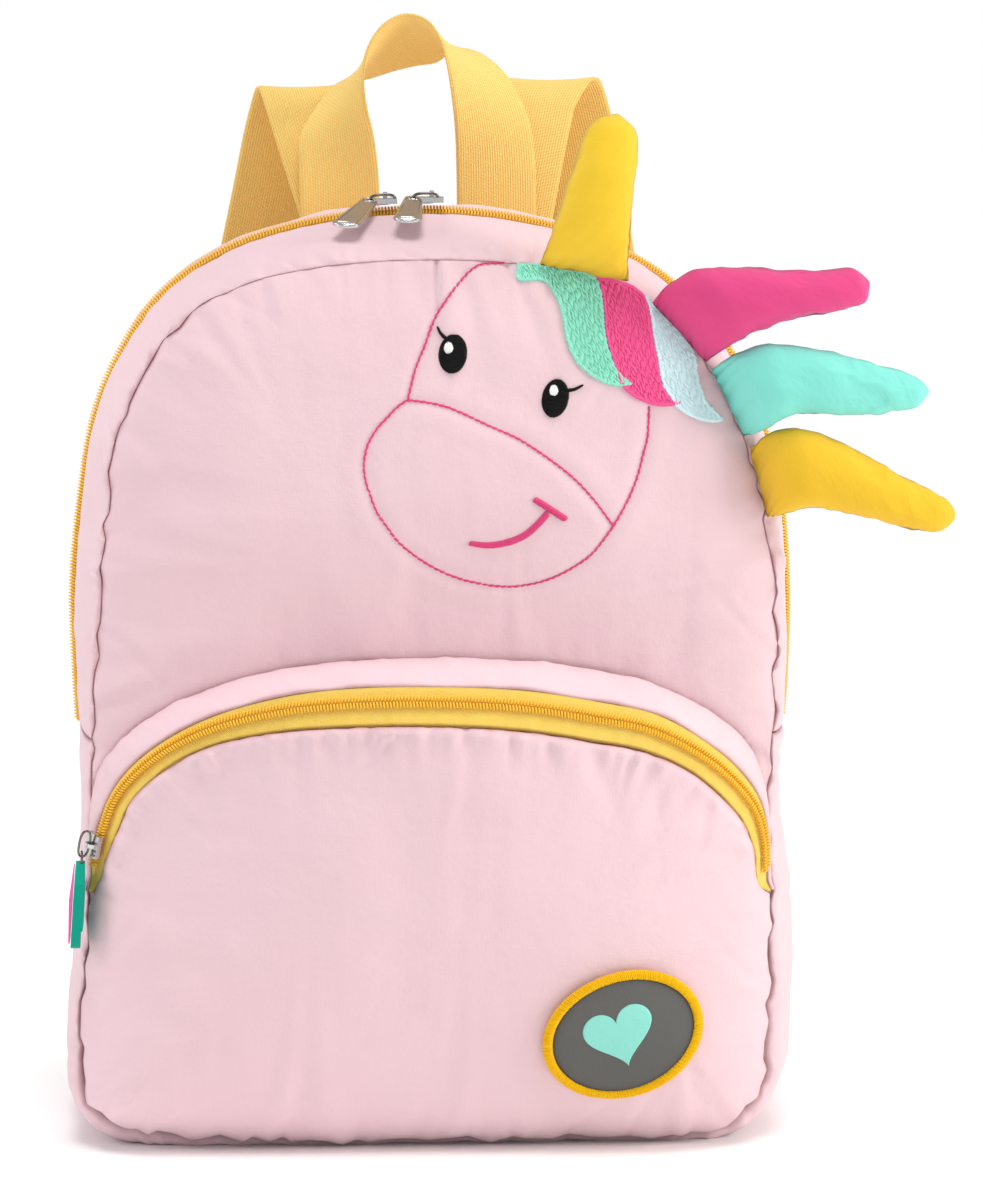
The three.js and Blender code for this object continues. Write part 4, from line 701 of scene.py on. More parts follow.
def creases(d, s, seed, gap=(8, 22), deep=(0.4, 1.0), wide=(0.9, 1.8), reach=(6, 14), slant=1.0, full=1200):
    """Single folds that run away from a seam at a slant, each a valley with a ridge beside it."""
    r = np.random.default_rng(seed)
    at, h, d = r.uniform(0, gap[1]), np.zeros(np.shape(d)), np.maximum(d, 0)
    while at < full:
        a, w, far, m, side = r.uniform(*deep), r.uniform(*wide), r.uniform(*reach), slant * r.uniform(-1, 1), r.choice([-1, 1])
        u = s - at - m * d - 0.02 * m * d**2
        grow = w * (1 + d / far)
        fade = (1 - np.exp(-d / 0.8)) * np.exp(-(d / far) ** 2)
        h = h + a * fade * (0.75 * np.exp(-((u - side * 1.9 * grow) / (1.3 * grow)) ** 2) - np.exp(-(u / grow) ** 2))
        at += r.uniform(*gap)
    return h


_rs = np.random.default_rng(17)
SCAL_S = np.cumsum(_rs.uniform(3.0, 8.5, 260))
SCAL_V = _rs.uniform(-1, 1, 260)


def scallop(s, z, nz):
    """Sideways wander of the front seam, in straight runs between its gathers; nearly none along the top."""
    n = int(np.searchsorted(SCAL_S, LEN)) - 1
    k, v = np.concatenate([[0], SCAL_S[:n], [LEN]]), np.concatenate([[0], SCAL_V[:n], [0]])
    amp = mix(1.2, 0.15, smooth(0.80, 0.97, nz)) * (1 + 0.5 * smooth(70, 25, z))
    return amp * np.interp(np.mod(s, LEN), k, v)


# ---------------------------------------------------------------- panels
INSETS = np.array([0.2, 0.55, 1.0, 1.6, 2.4, 3.4, 4.6, 6.2, 8.2, 11.0])


def coons(left, top, right, bottom):
    share = lambda q: (lambda c: c / c[-1])(np.concatenate([[0], np.cumsum(np.linalg.norm(np.diff(q, axis=0), axis=1))]))
    sl, sr, st, sb = share(left), share(right), share(top), share(bottom)
    v0, u0 = (sl + sr) / 2, (sb + st) / 2
    u = mix(sb[:, None], st[:, None], v0[None])[..., None]
    v = mix(sl[None], sr[None], u0[:, None])[..., None]
    q = (1 - v) * bottom[:, None] + v * top[:, None] + (1 - u) * left[None] + u * right[None]
    q = q - ((1 - u) * (1 - v) * bottom[0] + u * (1 - v) * bottom[-1] + (1 - u) * v * top[0] + u * v * top[-1])
    q[0], q[-1], q[:, 0], q[:, -1] = left, right, bottom, top
    return q


def panel_layout(P, I, nu, nv, scale, insets=INSETS):
    """Points in the front view, faces, and how far each lies inside the edge (rings first, then the grid)."""
    n = len(P)
    rings = [P + I * (r * scale)[:, None] for r in insets]
    last = rings[-1]
    at = lambda k: last[np.asarray(k) % n]
    i, j = np.arange(nu + 1), np.arange(nv + 1)
    G = coons(at(j), at(nv + i), at(2 * nv + nu - j), at(2 * nv + 2 * nu - i))
    m = len(insets) - 1
    base = m * n
    k = np.arange(n)
    gid = lambda a, b: base + a * (nv + 1) + b
    ring_id = np.select(
        [k <= nv, k <= nv + nu, k <= 2 * nv + nu],
        [gid(0, k), gid(k - nv, nv), gid(nu, 2 * nv + nu - k)],
        gid(2 * nv + 2 * nu - k, 0),
    )
    rows = [np.arange(n) + r * n for r in range(m)] + [ring_id]
    F = [np.stack([rows[r], rows[r + 1], np.roll(rows[r + 1], -1), np.roll(rows[r], -1)], 1) for r in range(m)]
    F.append(grid_faces(nu + 1, nv + 1, base=base))
    F = np.concatenate(F)
    XZ = np.concatenate(rings[:-1] + [G.reshape(-1, 2)])
    inset = np.concatenate([np.full(n, r) * scale for r in insets[:-1]] + [np.full(G.shape[0] * G.shape[1], 1e3)])
    pull = np.concatenate([I * (2.5 * (1 - smooth(0, 6, r)))[..., None] if np.ndim(r) else I * (2.5 * (1 - smooth(0, 6, r))) for r in insets[:-1]] + [np.zeros((G.shape[0] * G.shape[1], 2))])
    return XZ, F, inset, pull, rows[0]


def panel_faces(F, first, N):
    """Faces of the outer side, the inner side and the rim. F runs round so that a ring's edge goes from k + 1 to k."""
    nxt = np.roll(first, -1)
    rim = np.stack([first, nxt, nxt + N, first + N], 1)
    return [F, F[:, ::-1] + N, rim]


def body_loop(nu, nv):
    parts = [stations(L_ROW["cornerL"], L_ROW["shoulderL"], nv), stations(L_ROW["shoulderL"], L_ROW["shoulderR"], nu),
             stations(L_ROW["shoulderR"], L_ROW["cornerR"], nv), stations(L_ROW["cornerR"], L_ROW["cornerL"] + len(SEAM), nu)]
    P = np.concatenate([np.stack([p.x, p.z], 1)[:-1] for p in parts])
    I = np.concatenate([np.stack([-p.nx, -p.nz], 1)[:-1] for p in parts])
    return P, I


# painted shade beside a seam, fading over about reach mm with a wandering width
def painted_seam_shade(d, s, seed, reach=1.1, amount=0.75):
    return np.clip(amount * np.exp(-np.maximum(d, 0) / (reach * (1 + 0.4 * noise1(s, 7, seed)))), 0, 1)


def front_surface(x, z, d=None, s=None):
    """Depth of the shown front panel with its puckers; the embroidery lies on it."""
    if d is None:
        d, s = nearest_seam(x, z)
        d, s = d.reshape(np.shape(x)), s.reshape(np.shape(x))
    y = front_depth(x, z)
    h = gather(d, s, 11, short=0.55, wide=0.9)
    h = h + 1.1 * noise2(x, z, 85, 3) * smooth(6, 45, d) + 0.4 * noise2(x, z, 34, 4) * smooth(3, 20, d)
    h = h + raster(GROOVE, x, z)
    h = h + creases(d, s, 71, gap=(14, 40), deep=(0.3, 0.8), wide=(1.6, 3.4), reach=(12, 34), slant=0.8)
    for dx, depth, reach in ((1.6, 2.2, 13), (27.2, 1.1, 6), (-32.0, 0.5, 12)):  # small darts under the seam at the top
        fade = np.exp(-np.maximum(d, 0) / reach) * smooth(0, 1.2, d) * (z > 280)
        h = h + fade * depth * (0.6 * np.exp(-((x - dx - 2.2) / 1.6) ** 2) - 1.0 * np.exp(-((x - dx) / 0.9) ** 2))
    over = z - band_line(x)
    h = h + np.where(over > -2, gather(np.maximum(over, 0), x, 51, short=0.35, wide=0.8), 0)
    return y - h


def build_panels():
    nu, nv = ((140, 180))
    P, I = body_loop(nu, nv)
    XZ, F, inset, pull, first = panel_layout(P, I, nu, nv, np.ones(len(P)))
    x, z = XZ.T
    d, s = nearest_seam(x, z)
    nn = np.stack([np.interp(np.mod(s, LEN), ARC, NX), np.interp(np.mod(s, LEN), ARC, NZ)], 1)
    XZ = XZ + nn * (scallop(s, z, nn[:, 1]) * np.exp(-np.maximum(d, 0) / 3.5))[:, None]
    y = front_surface(x, z, d, s)
    x, z = XZ.T
    hole = z < band_line(x) - 4
    y = np.where(hole, front_depth(x, z), y)
    inner = XZ + pull
    yi = front_depth(x, z) + WALL
    pts = np.concatenate([np.stack([x, y, z], 1), np.stack([inner[:, 0], yi, inner[:, 1]], 1)])
    # painted shade: a thin dark line in the seam, weaker along the top
    painted_shade = painted_seam_shade(d, s, 21, reach=0.28, amount=0.9) * mix(1, 0.12, smooth(0.8, 0.97, nn[:, 1])) * (0.75 + 0.35 * noise1(s, 11, 37))
    # painted shade along the pocket band's seam, and half shade on the part hidden behind the pocket
    over = z - band_line(x)
    painted_shade = np.maximum(painted_shade, np.where(over > -6, 0.5 * np.exp(-np.abs(over) / 1.3), 0.5))
    make("front_panel_cloth", pts, panel_faces(F, first, len(XZ)), MAT["pink"], uv=pts[:, [0, 2]],
         attrs={"painted_shade": np.concatenate([painted_shade, np.zeros(len(x))])}, replaces=["front_panel"])
    nu, nv = ((66, 88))
    P, I = body_loop(nu, nv)
    XZ, F, inset, pull, first = panel_layout(P, I, nu, nv, np.ones(len(P)))
    x, z = XZ.T
    d, s = nearest_seam(x, z)
    y = back_depth(x, z) + gather(d, s, 61, short=0.5, wide=0.8) + 1.0 * noise2(x, z, 80, 8) * smooth(6, 45, d)
    inner = XZ + pull
    pts = np.concatenate([np.stack([x, y, z], 1), np.stack([inner[:, 0], back_depth(x, z) - WALL, inner[:, 1]], 1)])
    # painted shade in the seams of the back panel
    make("back_panel_cloth", pts, panel_faces(F, first, len(XZ)), MAT["pink"], uv=pts[:, [0, 2]],
         attrs={"painted_shade": np.concatenate([painted_seam_shade(d, s, 22), np.zeros(len(x))])}, replaces=["back_panel"])


# ---------------------------------------------------------------- side bands
ZIP_AT, HALF_SLOT, HALF_TAPE = 0.45, 0.038, 0.0345


def band_points(S, w, deep=0.0):
    """Points (n, m, 3) of the side band at stations S and shares w; deep is measured inwards along its normal."""
    w = np.atleast_1d(np.asarray(w, float))[None]
    z, nz = S.z[:, None], S.nz[:, None]
    power = mix(2.2, 4.0, np.clip((70 - z) / 60, 0, 1))
    floor = np.where(nz < -1e-3, z / np.maximum(-nz, 1e-3), 1e9)

    high = smooth(110, 230, z)
    lean = 1 + 0.5 * high
    less = 1 - 0.10 * high * np.clip(nz, 0, 1)

    def prof(v):
        v = np.clip(v, 0, 1)
        rise = less * S.swell[:, None] * np.maximum(1 - np.abs(2 * v**lean - 1) ** power, 0) ** (1 / power)
        return mix(seam_front(z), seam_back(z), v), np.minimum(rise, floor), rise >= floor

    (ya, oa, _), (yb, ob, _), (y, out, flat) = prof(w - 0.004), prof(w + 0.004), prof(w)
    l = np.hypot(yb - ya, ob - oa)
    ny, no = (ob - oa) / l, -(yb - ya) / l
    y, out = y + ny * deep, out + no * deep
    X, Z = S.x[:, None] + S.nx[:, None] * out, z + nz * out
    Z = np.where(flat & (np.asarray(deep) == 0), 0, np.maximum(Z, 0))
    return np.stack([X + 0 * y, y + 0 * X, Z], 2)


def across_length(G):
    step = np.linalg.norm(np.diff(G, axis=1), axis=2)
    return np.concatenate([np.zeros((len(G), 1)), np.cumsum(step, axis=1)], 1)


HORN_S = float(np.ravel(nearest_seam(np.array([41.5]), np.array([321.5]))[1])[0])


def build_band(name, node, S, w, seams, zip_edges, seed):
    """One band piece: seams and zip_edges tell which ends of w are sewn to a panel or end at the zip."""
    G = band_points(S, w)
    G[:, 0] = band_points(S, [0.0])[:, 0] if w[0] == 0 else G[:, 0]
    inner = band_points(S, w, BAND)
    n, m, _ = G.shape
    V = across_length(G)
    total = V[:, -1:]
    s = S.s[:, None] + 0 * V
    N = grid_normals(G)
    mid = G.mean((0, 1))
    out = np.stack([S.nx, 0 * S.nx, S.nz], 1)[:, None]
    N = N * np.sign((N * out).sum(2).mean() or 1)
    h = 1.0 * noise2(s, V, 60, seed) + 0.5 * noise2(s + 0.8 * V, V, 24, seed + 1)
    painted_shade = np.zeros_like(V)
    for side, d in ((0, V), (1, total - V)):
        if side in seams:
            h = h * (1 - np.exp(-d / 6)) + gather(d, s, 11 if side == 0 else 61, short=0.75, wide=0.9)
            if name == "gusset_front_cloth":
                for off, a, w in ((-17, 0.5, 1.6), (-10, 0.9, 1.5), (-4, 1.3, 1.3), (4, 1.3, 1.3), (10, 0.9, 1.5), (17, 0.5, 1.6)):
                    u = s - HORN_S - off * (1 + 0.03 * d)
                    h = h + a * (1 - np.exp(-d / 0.8)) * np.exp(-(d / 13) ** 2) * (0.7 * np.exp(-((u - 2 * w) / (1.4 * w)) ** 2) - np.exp(-(u / w) ** 2))
            h = h + creases(d, s, 73 + side, gap=(7, 20), deep=(0.4, 1.1), wide=(0.9, 1.7), reach=(6, 13), slant=1.1)
            # painted shade along the sewn edge: a thin dark line and a broader soft band, weaker along the top and the
            # bottom
            calm = (mix(1, 0.12, smooth(0.8, 0.97, S.nz)) * mix(1, 0.35, smooth(-0.5, -0.95, S.nz)))[:, None]
            painted_shade = np.maximum(painted_shade, calm * painted_seam_shade(d, s, 21 + side, reach=0.35, amount=0.85) * (0.75 + 0.35 * noise1(s, 11, 37)))
            painted_shade = np.maximum(painted_shade, calm * 0.30 * np.exp(-(d / 2.0) ** 2) * (1 + 0.5 * noise1(s, 9, 33)))
        if side in zip_edges:
            h = h * (1 - np.exp(-d / 5)) + gather(d, s, 81, short=0.28, wide=0.4) - 1.1 * np.exp(-d / 0.8)
            # painted shade where the band turns under at the zip
            painted_shade = np.maximum(painted_shade, 0.35 * np.exp(-d / 0.8))
    ends = np.minimum(S.s - S.s[0], S.s[-1] - S.s)[:, None]
    h = h * (1 - np.exp(-ends / 2)) - 0.8 * np.exp(-ends / 1.0)
    # painted shade where the band's ends tuck into the seam
    painted_shade = np.maximum(painted_shade, 0.5 * np.exp(-ends / 0.8))
    on_floor = G[:, :, 2] < 0.4
    h = np.where(on_floor, np.minimum(h, 0) * 0.3, h)
    Q = G + N * h[..., None]
    if 0 in seams:
        roll = 1.5 * (V / 1.3) * np.exp(1 - V / 1.3) * (1 + 0.5 * pucker(s, 11)) * (mix(1, 0.45, smooth(0.8, 0.97, S.nz)) * mix(1, 0.55, smooth(190, 130, S.z)))[:, None]
        Q[:, :, 1] -= roll
    if 1 in seams:
        Q[:, :, 1] += 1.2 * ((total - V) / 1.5) * np.exp(1 - (total - V) / 1.5)
    if 0 in seams:
        side_step = scallop(S.s[:, None], S.z[:, None], S.nz[:, None]) * np.exp(-V / 3.5)
        Q[:, :, 0] += S.nx[:, None] * side_step
        Q[:, :, 2] += S.nz[:, None] * side_step
        Q[:, 0, 1] += 0.2
        inner[:, 0] = np.stack([S.x - S.nx * BAND, seam_front(S.z) + 0.2 + WALL, np.maximum(S.z - S.nz * BAND, 0.5)], 1)
    if 1 in seams:
        Q[:, -1, 1] -= 0.2
        inner[:, -1] = np.stack([S.x - S.nx * BAND, seam_back(S.z) - 0.2 - WALL, np.maximum(S.z - S.nz * BAND, 0.5)], 1)
    Q[:, :, 2] = np.maximum(Q[:, :, 2], 0)
    P, F = shell(Q, inner)
    uv = np.stack([s.ravel(), V.ravel()], 1)
    make(name, P, F, MAT["pink"], uv=np.concatenate([uv, uv]), attrs={"painted_shade": np.concatenate([painted_shade.ravel(), 0 * painted_shade.ravel()])},
         replaces=[node])
    return Q


def build_bands():
    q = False
    eps = 0.012
    upper = stations(L_ROW["bandEndL"] + eps, L_ROW["bandEndR"] - eps, 200 if q else 460, bend=4)
    lower = stations(L_ROW["bandEndR"] + eps, L_ROW["bandEndL"] + len(SEAM) - eps, 160 if q else 380, bend=4)
    c = lambda n: 0.5 - 0.5 * np.cos(np.linspace(0, math.pi, n))
    half = lambda n: 1 - np.cos(np.linspace(0, math.pi / 2, n))
    a, b = ZIP_AT - HALF_SLOT, ZIP_AT + HALF_SLOT
    wf = np.unique(np.concatenate([a * half(20), a - np.array([0.0, 0.006, 0.014, 0.026, 0.045])]).round(5))
    wr = np.unique(np.concatenate([1 - (1 - b) * half(17), b + np.array([0.0, 0.006, 0.014, 0.026, 0.045])]).round(5))
    build_band("gusset_front_cloth", "gusset_front", upper, wf, (0,), (1,), 31)
    build_band("gusset_rear_cloth", "gusset_rear", upper, wr, (1,), (0,), 35)
    build_band("gusset_lower_cloth", "gusset_lower", lower, c(30 if q else 46), (0, 1), (), 39)
    tape = np.stack([band_points(upper, [ZIP_AT + k * HALF_TAPE], 1.25)[:, 0] for k in (-1, -0.5, 0, 0.5, 1)], 1)
    under = np.stack([band_points(upper, [ZIP_AT + k * HALF_TAPE], 2.45)[:, 0] for k in (-1, -0.5, 0, 0.5, 1)], 1)
    P, F = shell(tape, under)
    V = across_length(tape)
    uv = np.stack([(upper.s[:, None] + 0 * V).ravel(), V.ravel()], 1)
    # painted shade over the whole sunk tape
    make("main_zip_tape_cloth", P, F, MAT["tape"], uv=np.concatenate([uv, uv]), attrs={"painted_shade": np.full(len(P), 0.12)},
         replaces=["main_zip_tape"])


def tooth(around=8, rings=4):
    """Small rounded bar, 1 across, 1 along, 1 high (half sizes), lying on z = 0 at its middle."""
    w = 2 * math.pi * np.arange(around) / around
    rows = []
    for a in np.linspace(-1, 1, rings + 2)[1:-1]:
        r = math.sqrt(1 - abs(a) ** 3.2)
        rows.append(np.stack([np.full(around, a), r * np.cos(w), r * np.sin(w)], 1))
    P = np.concatenate(rows + [[[-1, 0, 0]], [[1, 0, 0]]])
    F = grid_faces(rings, around, ring_m=True)
    j = np.arange(around)
    l = (j + 1) % around
    k = rings * around
    T = np.concatenate([np.stack([j, l, np.full(around, k)], 1), np.stack([(rings - 1) * around + l, (rings - 1) * around + j, np.full(around, k + 1)], 1)])
    return P, [F, T]


def zip_teeth(name, node, line, across, out, half, pitch=1.18):
    """Two rows of coil loops along a line (n, 3). across and out are unit vectors there, half the coil's half width."""
    seg = np.linalg.norm(np.diff(line, axis=0), axis=1)
    s = np.concatenate([[0], np.cumsum(seg)])
    n = int(s[-1] / pitch)
    P, F, count = [], [[], []], 0
    bp, bf = tooth()
    for row, shift in ((-1, 0.25), (1, 0.75)):
        at = (np.arange(n) + shift) * pitch
        pick = lambda v: np.stack([np.interp(at, s, v[:, k]) for k in range(3)], 1)
        c, a, o = pick(line), unit(pick(across)), unit(pick(out))
        t = unit(np.cross(o, a))
        h = np.interp(at, s, half)
        a2 = unit(a + row * 0.16 * t)
        centre = c + a * (row * 0.50 * h)[:, None] - o * 0.25
        axes = np.stack([a2 * (0.56 * h)[:, None], t * 0.44, o * 0.95], 1)
        p, f = copies(bp, bf, centre, axes)
        P.append(p)
        for k in range(2):
            F[k].append(f[k] + count)
        count += len(p)
    make(name, np.concatenate(P), [np.concatenate(F[0]), np.concatenate(F[1])], MAT["coil"], replaces=[node])


def build_main_coil():
    S = stations(L_ROW["bandEndL"] + 0.02, L_ROW["bandEndR"] - 0.02, 900, bend=0)
    line = band_points(S, [ZIP_AT], -0.45)[:, 0]
    across = unit(band_points(S, [ZIP_AT + 0.02])[:, 0] - band_points(S, [ZIP_AT - 0.02])[:, 0])
    out = np.stack([S.nx, 0 * S.nx, S.nz], 1)
    out = unit(out - across * (out * across).sum(1, keepdims=True))
    c, k = math.cos(math.radians(20)), math.sin(math.radians(20))
    across, out = c * across + k * out, c * out - k * across
    zip_teeth("main_zip_coil_teeth", "main_zip_coil", line, across, out, 2.5 + 0.75 * smooth(-0.2, -0.9, S.nx) * smooth(235, 262, S.z))


# ---------------------------------------------------------------- front pocket
def arch_at(t):
    t = np.asarray(t, float)
    band, top, low = (catmull(c, t) for c in (ARCH_BAND, ARCH_TOP, ARCH_LOW))
    e = 1e-3
    tan = unit(catmull(ARCH_TOP, np.minimum(t + e, 1)) - catmull(ARCH_TOP, np.maximum(t - e, 0)))
    inward = unit(np.stack([tan[:, 2], 0 * t, -tan[:, 0]], 1))
    lift = top[:, 1].copy()
    low[:, 1] = pocket_depth(low[:, 0], low[:, 2])
    top[:, 1] = mix(seam_front(top[:, 2]), low[:, 1], lift)
    band[:, 1] = front_depth(band[:, 0], band[:, 2]) - 0.6
    return band, top, low, inward


def arch_rows(count):
    """Stations of the pocket's zip from end to end; where it runs out into the side seam it narrows to nothing."""
    tl, tr = Stations([6.52 * SUB]), Stations([27.72 * SUB])
    probe = np.linspace(0, 1, 1200)
    lowp = catmull(ARCH_LOW, probe)
    s = np.concatenate([[0], np.cumsum(np.linalg.norm(np.diff(lowp[:, [0, 2]], axis=0), axis=1))])
    t0, t1 = 0.035, 0.965
    want = np.linspace(np.interp(t0, probe, s), np.interp(t1, probe, s), count)
    t = np.interp(want, s, probe)
    band, top, low, inward = arch_at(t)
    ends = []
    for S, k in ((tl, 0), (tr, -1)):
        corner = np.array([S.x[0], 0, S.z[0]])
        e_low = mix(corner, low[k] * [1, 0, 1], 0.5) - 0.45 * inward[k]
        side = np.sign(e_low[0])
        e_top, e_band = e_low + [side * 2.5, 0, 0], e_low + [side * 1.7, 0, 0]
        e_low[1] = pocket_depth(e_low[0], e_low[2])
        e_top[1] = e_low[1] + 1.0
        e_band[1] = seam_front(e_band[2]) - 0.6
        ends.append((e_band, e_top, e_low))
    ease = np.linspace(0, 1, 7)[:-1, None]
    rows = []
    for m, full in enumerate((band, top, low)):
        a = mix(ends[0][m][None], full[0][None], ease)
        b = mix(ends[1][m][None], full[-1][None], ease)[::-1]
        rows.append(np.concatenate([a, full, b]))
    inw = np.concatenate([np.repeat(inward[:1], 6, 0), inward, np.repeat(inward[-1:], 6, 0)])
    return rows[0], rows[1], rows[2], inw


def arc_of(line):
    return np.concatenate([[0], np.cumsum(np.linalg.norm(np.diff(line, axis=0), axis=1))])


def build_pocket():
    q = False
    band, top, low, inw = arch_rows(140 if q else 300)
    s = arc_of(low)
    width = np.linalg.norm(band - low, axis=1)
    wide = np.minimum(BAND, 0.3 * width)[:, None]
    lean = unit(np.array([0, 0.7, 0]) + 0.7 * inw)
    # band between the front panel and the zip
    u = np.linspace(0, 1, 18)[None, :, None]
    band[:, 1] = front_depth(band[:, 0], band[:, 2]) - 0.5
    foot = band + inw * wide
    foot[:, 1] = np.minimum(front_depth(foot[:, 0], foot[:, 2]) - 0.5, band[:, 1])
    middle = mix(band, top, 0.5) - 0.9 * inw * np.minimum(1, width[:, None] / 10)
    ctrl = 2 * middle - 0.5 * (band + top)
    G = (1 - u) ** 2 * band[:, None] + 2 * u * (1 - u) * ctrl[:, None] + u**2 * top[:, None]
    N = grid_normals(G)
    N = N * np.sign(-N[:, :, 1].mean())
    V = across_length(G)
    total = V[:, -1:]
    S = s[:, None] + 0 * V
    tame = np.minimum(1, total / 8)
    h = (gather(V, S, 51, short=0.5, wide=0.6) + gather(total - V, S, 91, short=0.3, wide=0.4) + 0.35 * noise2(S, V, 22, 44) * np.minimum(1, V / 4)) * tame
    h = h - 0.7 * np.exp(-(total - V) / 0.7) * tame + 0.6 * (V / 1.2) * np.exp(1 - V / 1.2) * tame
    Q = G + N * h[..., None]
    off = mix((foot - band)[:, None], (lean * wide)[:, None], u)
    P, F = shell(Q, G + off)
    # painted shade in the crease with the front panel and where the band meets the zip
    painted_shade = np.maximum(0.7 * np.exp(-V / 0.9), 0.35 * np.exp(-(total - V) / 0.8))
    uv = np.stack([S.ravel(), V.ravel()], 1)
    make("pocket_band_cloth", P, F, MAT["pink"], uv=np.concatenate([uv, uv]), attrs={"painted_shade": np.concatenate([painted_shade.ravel(), 0 * painted_shade.ravel()])},
         replaces=["pocket_band"])
    # zip tape
    across = low - top
    w = np.linalg.norm(across, axis=1, keepdims=True)
    across = across / w
    out = np.cross(np.gradient(top, axis=0), across)
    out = unit(out * np.where(out[:, 1:2] > 0, -1, 1))
    v = np.linspace(0, 1, 12)[None, :, None]
    lo, hi = np.minimum(0.9, 0.2 * w), np.maximum(w - 0.3, 0.6 * w)
    T = top[:, None] + across[:, None] * (lo[:, None] * (1 - v) + hi[:, None] * v)
    V = across_length(T)
    S = s[:, None] + 0 * V
    small = np.minimum(1, w / 8)
    h = -0.35 + (0.22 * noise1(S + 0.6 * V, 5.0, 70) + 0.16 * noise1(S, 3.1, 71)) * (V / np.maximum(V[:, -1:], 1e-3)) ** 1.5 * small - 0.55 * np.clip((V - 0.7 * V[:, -1:]) / np.maximum(0.3 * V[:, -1:], 1e-3), 0, 1) * small
    T2 = T + out[:, None] * h[..., None]
    P, F = shell(T2, T2 - out[:, None] * 0.8)
    edge = V[:, -1:] - V
    # painted shade under the pocket panel's rolled edge, and where the tape meets the band
    painted_shade = np.maximum(0.85 * np.exp(-edge / 0.55), 0.25 * np.exp(-V / 0.5))
    uv = np.stack([S.ravel(), V.ravel()], 1)
    make("pocket_zip_tape_cloth", P, F, MAT["tape"], uv=np.concatenate([uv, uv]), attrs={"painted_shade": np.concatenate([painted_shade.ravel(), 0 * painted_shade.ravel()])},
         replaces=["pocket_zip_tape"])
    # coil
    k = slice(10, len(top) - 10)
    centre = mix(top, low, 0.43) + out * 1.35
    zip_teeth("pocket_zip_coil_teeth", "pocket_zip_coil", centre[k], across[k], out[k], np.minimum(2.4, 0.3 * w[k, 0]))
    # panel
    nv, nu = (30, 100) if q else (62, 200)
    left, right = stations(3.5, 6.52, nv, bend=4), stations(27.72, 31, nv, bend=4)
    bottom = stations(31, 3.5 + len(SEAM), nu, bend=10)
    line = low + 0.3 * inw
    arch_p = np.concatenate([[[left.x[-1] - 0.2 * left.nx[-1], left.z[-1] - 0.2 * left.nz[-1]]], line[4:-4][:, [0, 2]], [[right.x[0] - 0.2 * right.nx[0], right.z[0] - 0.2 * right.nz[0]]]])
    arch_i = np.concatenate([[[-left.nx[-1], -left.nz[-1]]], inw[4:-4][:, [0, 2]], [[-right.nx[0], -right.nz[0]]]])
    sa = arc_of(arch_p)
    at = np.linspace(0, sa[-1], nu + 1)
    pick = lambda m: np.stack([np.interp(at, sa, m[:, c]) for c in (0, 1)], 1)
    AP, AI = pick(arch_p), unit(pick(arch_i))
    rim = lambda S: (np.stack([S.x - 0.2 * S.nx, S.z - 0.2 * S.nz], 1), np.stack([-S.nx, -S.nz], 1))
    lp, li = rim(left)
    rp, ri = rim(right)
    bp, bi = rim(bottom)
    Pl = np.concatenate([lp[:-1], AP[:-1], rp[:-1], bp[:-1]])
    Il = np.concatenate([li[:-1], AI[:-1], ri[:-1], bi[:-1]])
    tips = np.minimum(np.hypot(*(Pl - lp[-1]).T), np.hypot(*(Pl - rp[0]).T))
    scale = np.clip((0.1 * tips + 0.3) / 6, 0.05, 1)
    XZ, F, inset, pull, first = panel_layout(Pl, Il, nu, nv, scale, np.concatenate([[0.0], INSETS[1:]]))
    x, z = XZ.T
    d, sd = nearest_seam(x, z)
    A = np.stack([AP[:, 0], AP[:, 1]], 1)
    D2 = (XZ**2).sum(1)[:, None] - 2 * XZ @ A.T + (A**2).sum(1)[None]
    ia = D2.argmin(1)
    da = np.sqrt(np.maximum(D2[np.arange(len(XZ)), ia], 0))
    s_a = at[ia]
    near_tip = np.minimum(np.hypot(*(XZ - lp[-1]).T), np.hypot(*(XZ - rp[0]).T))
    calm = smooth(0, 14, near_tip)
    nn = np.stack([np.interp(np.mod(sd, LEN), ARC, NX), np.interp(np.mod(sd, LEN), ARC, NZ)], 1)
    XZ = XZ + nn * (calm * scallop(sd, z, nn[:, 1]) * np.exp(-np.maximum(d, 0) / 3.5))[:, None]
    h = gather(d, sd, 41, short=0.6, wide=1.0) + calm * gather(da, s_a, 95, short=0.75, wide=1.1, near=0.8)
    h = h + (1.2 * noise2(x, z, 75, 13) + 0.35 * noise2(x, z, 30, 14)) * smooth(4, 30, np.minimum(d, da))
    h = h + calm * creases(da, s_a, 77, gap=(9, 26), deep=(0.35, 1.0), wide=(1.4, 3.2), reach=(9, 26), slant=0.8, full=500)
    h = h + creases(d, sd, 79, gap=(10, 30), deep=(0.3, 0.8), wide=(1.2, 2.6), reach=(8, 20), slant=0.8)
    h = h + calm * (1.2 * (da / 2.2) * np.exp(1 - da / 2.2) * (1 + 0.35 * pucker(s_a, 95)) - 1.6 * np.exp(-da / 0.9) + 0.5 * np.exp(-da / 3) * noise1(s_a, 7, 98))
    y = pocket_depth(x, z) - h
    x, z = XZ.T
    inner = XZ + pull * np.concatenate([np.tile(scale, len(INSETS) - 1), np.ones(len(XZ) - len(scale) * (len(INSETS) - 1))])[:, None]
    wallt = 1.2 + 1.8 * smooth(0, 6, np.minimum(d, da))
    pts = np.concatenate([np.stack([x, y, z], 1), np.stack([inner[:, 0], np.minimum(pocket_depth(x, z) + wallt, seam_front(z) - 0.5), inner[:, 1]], 1)])
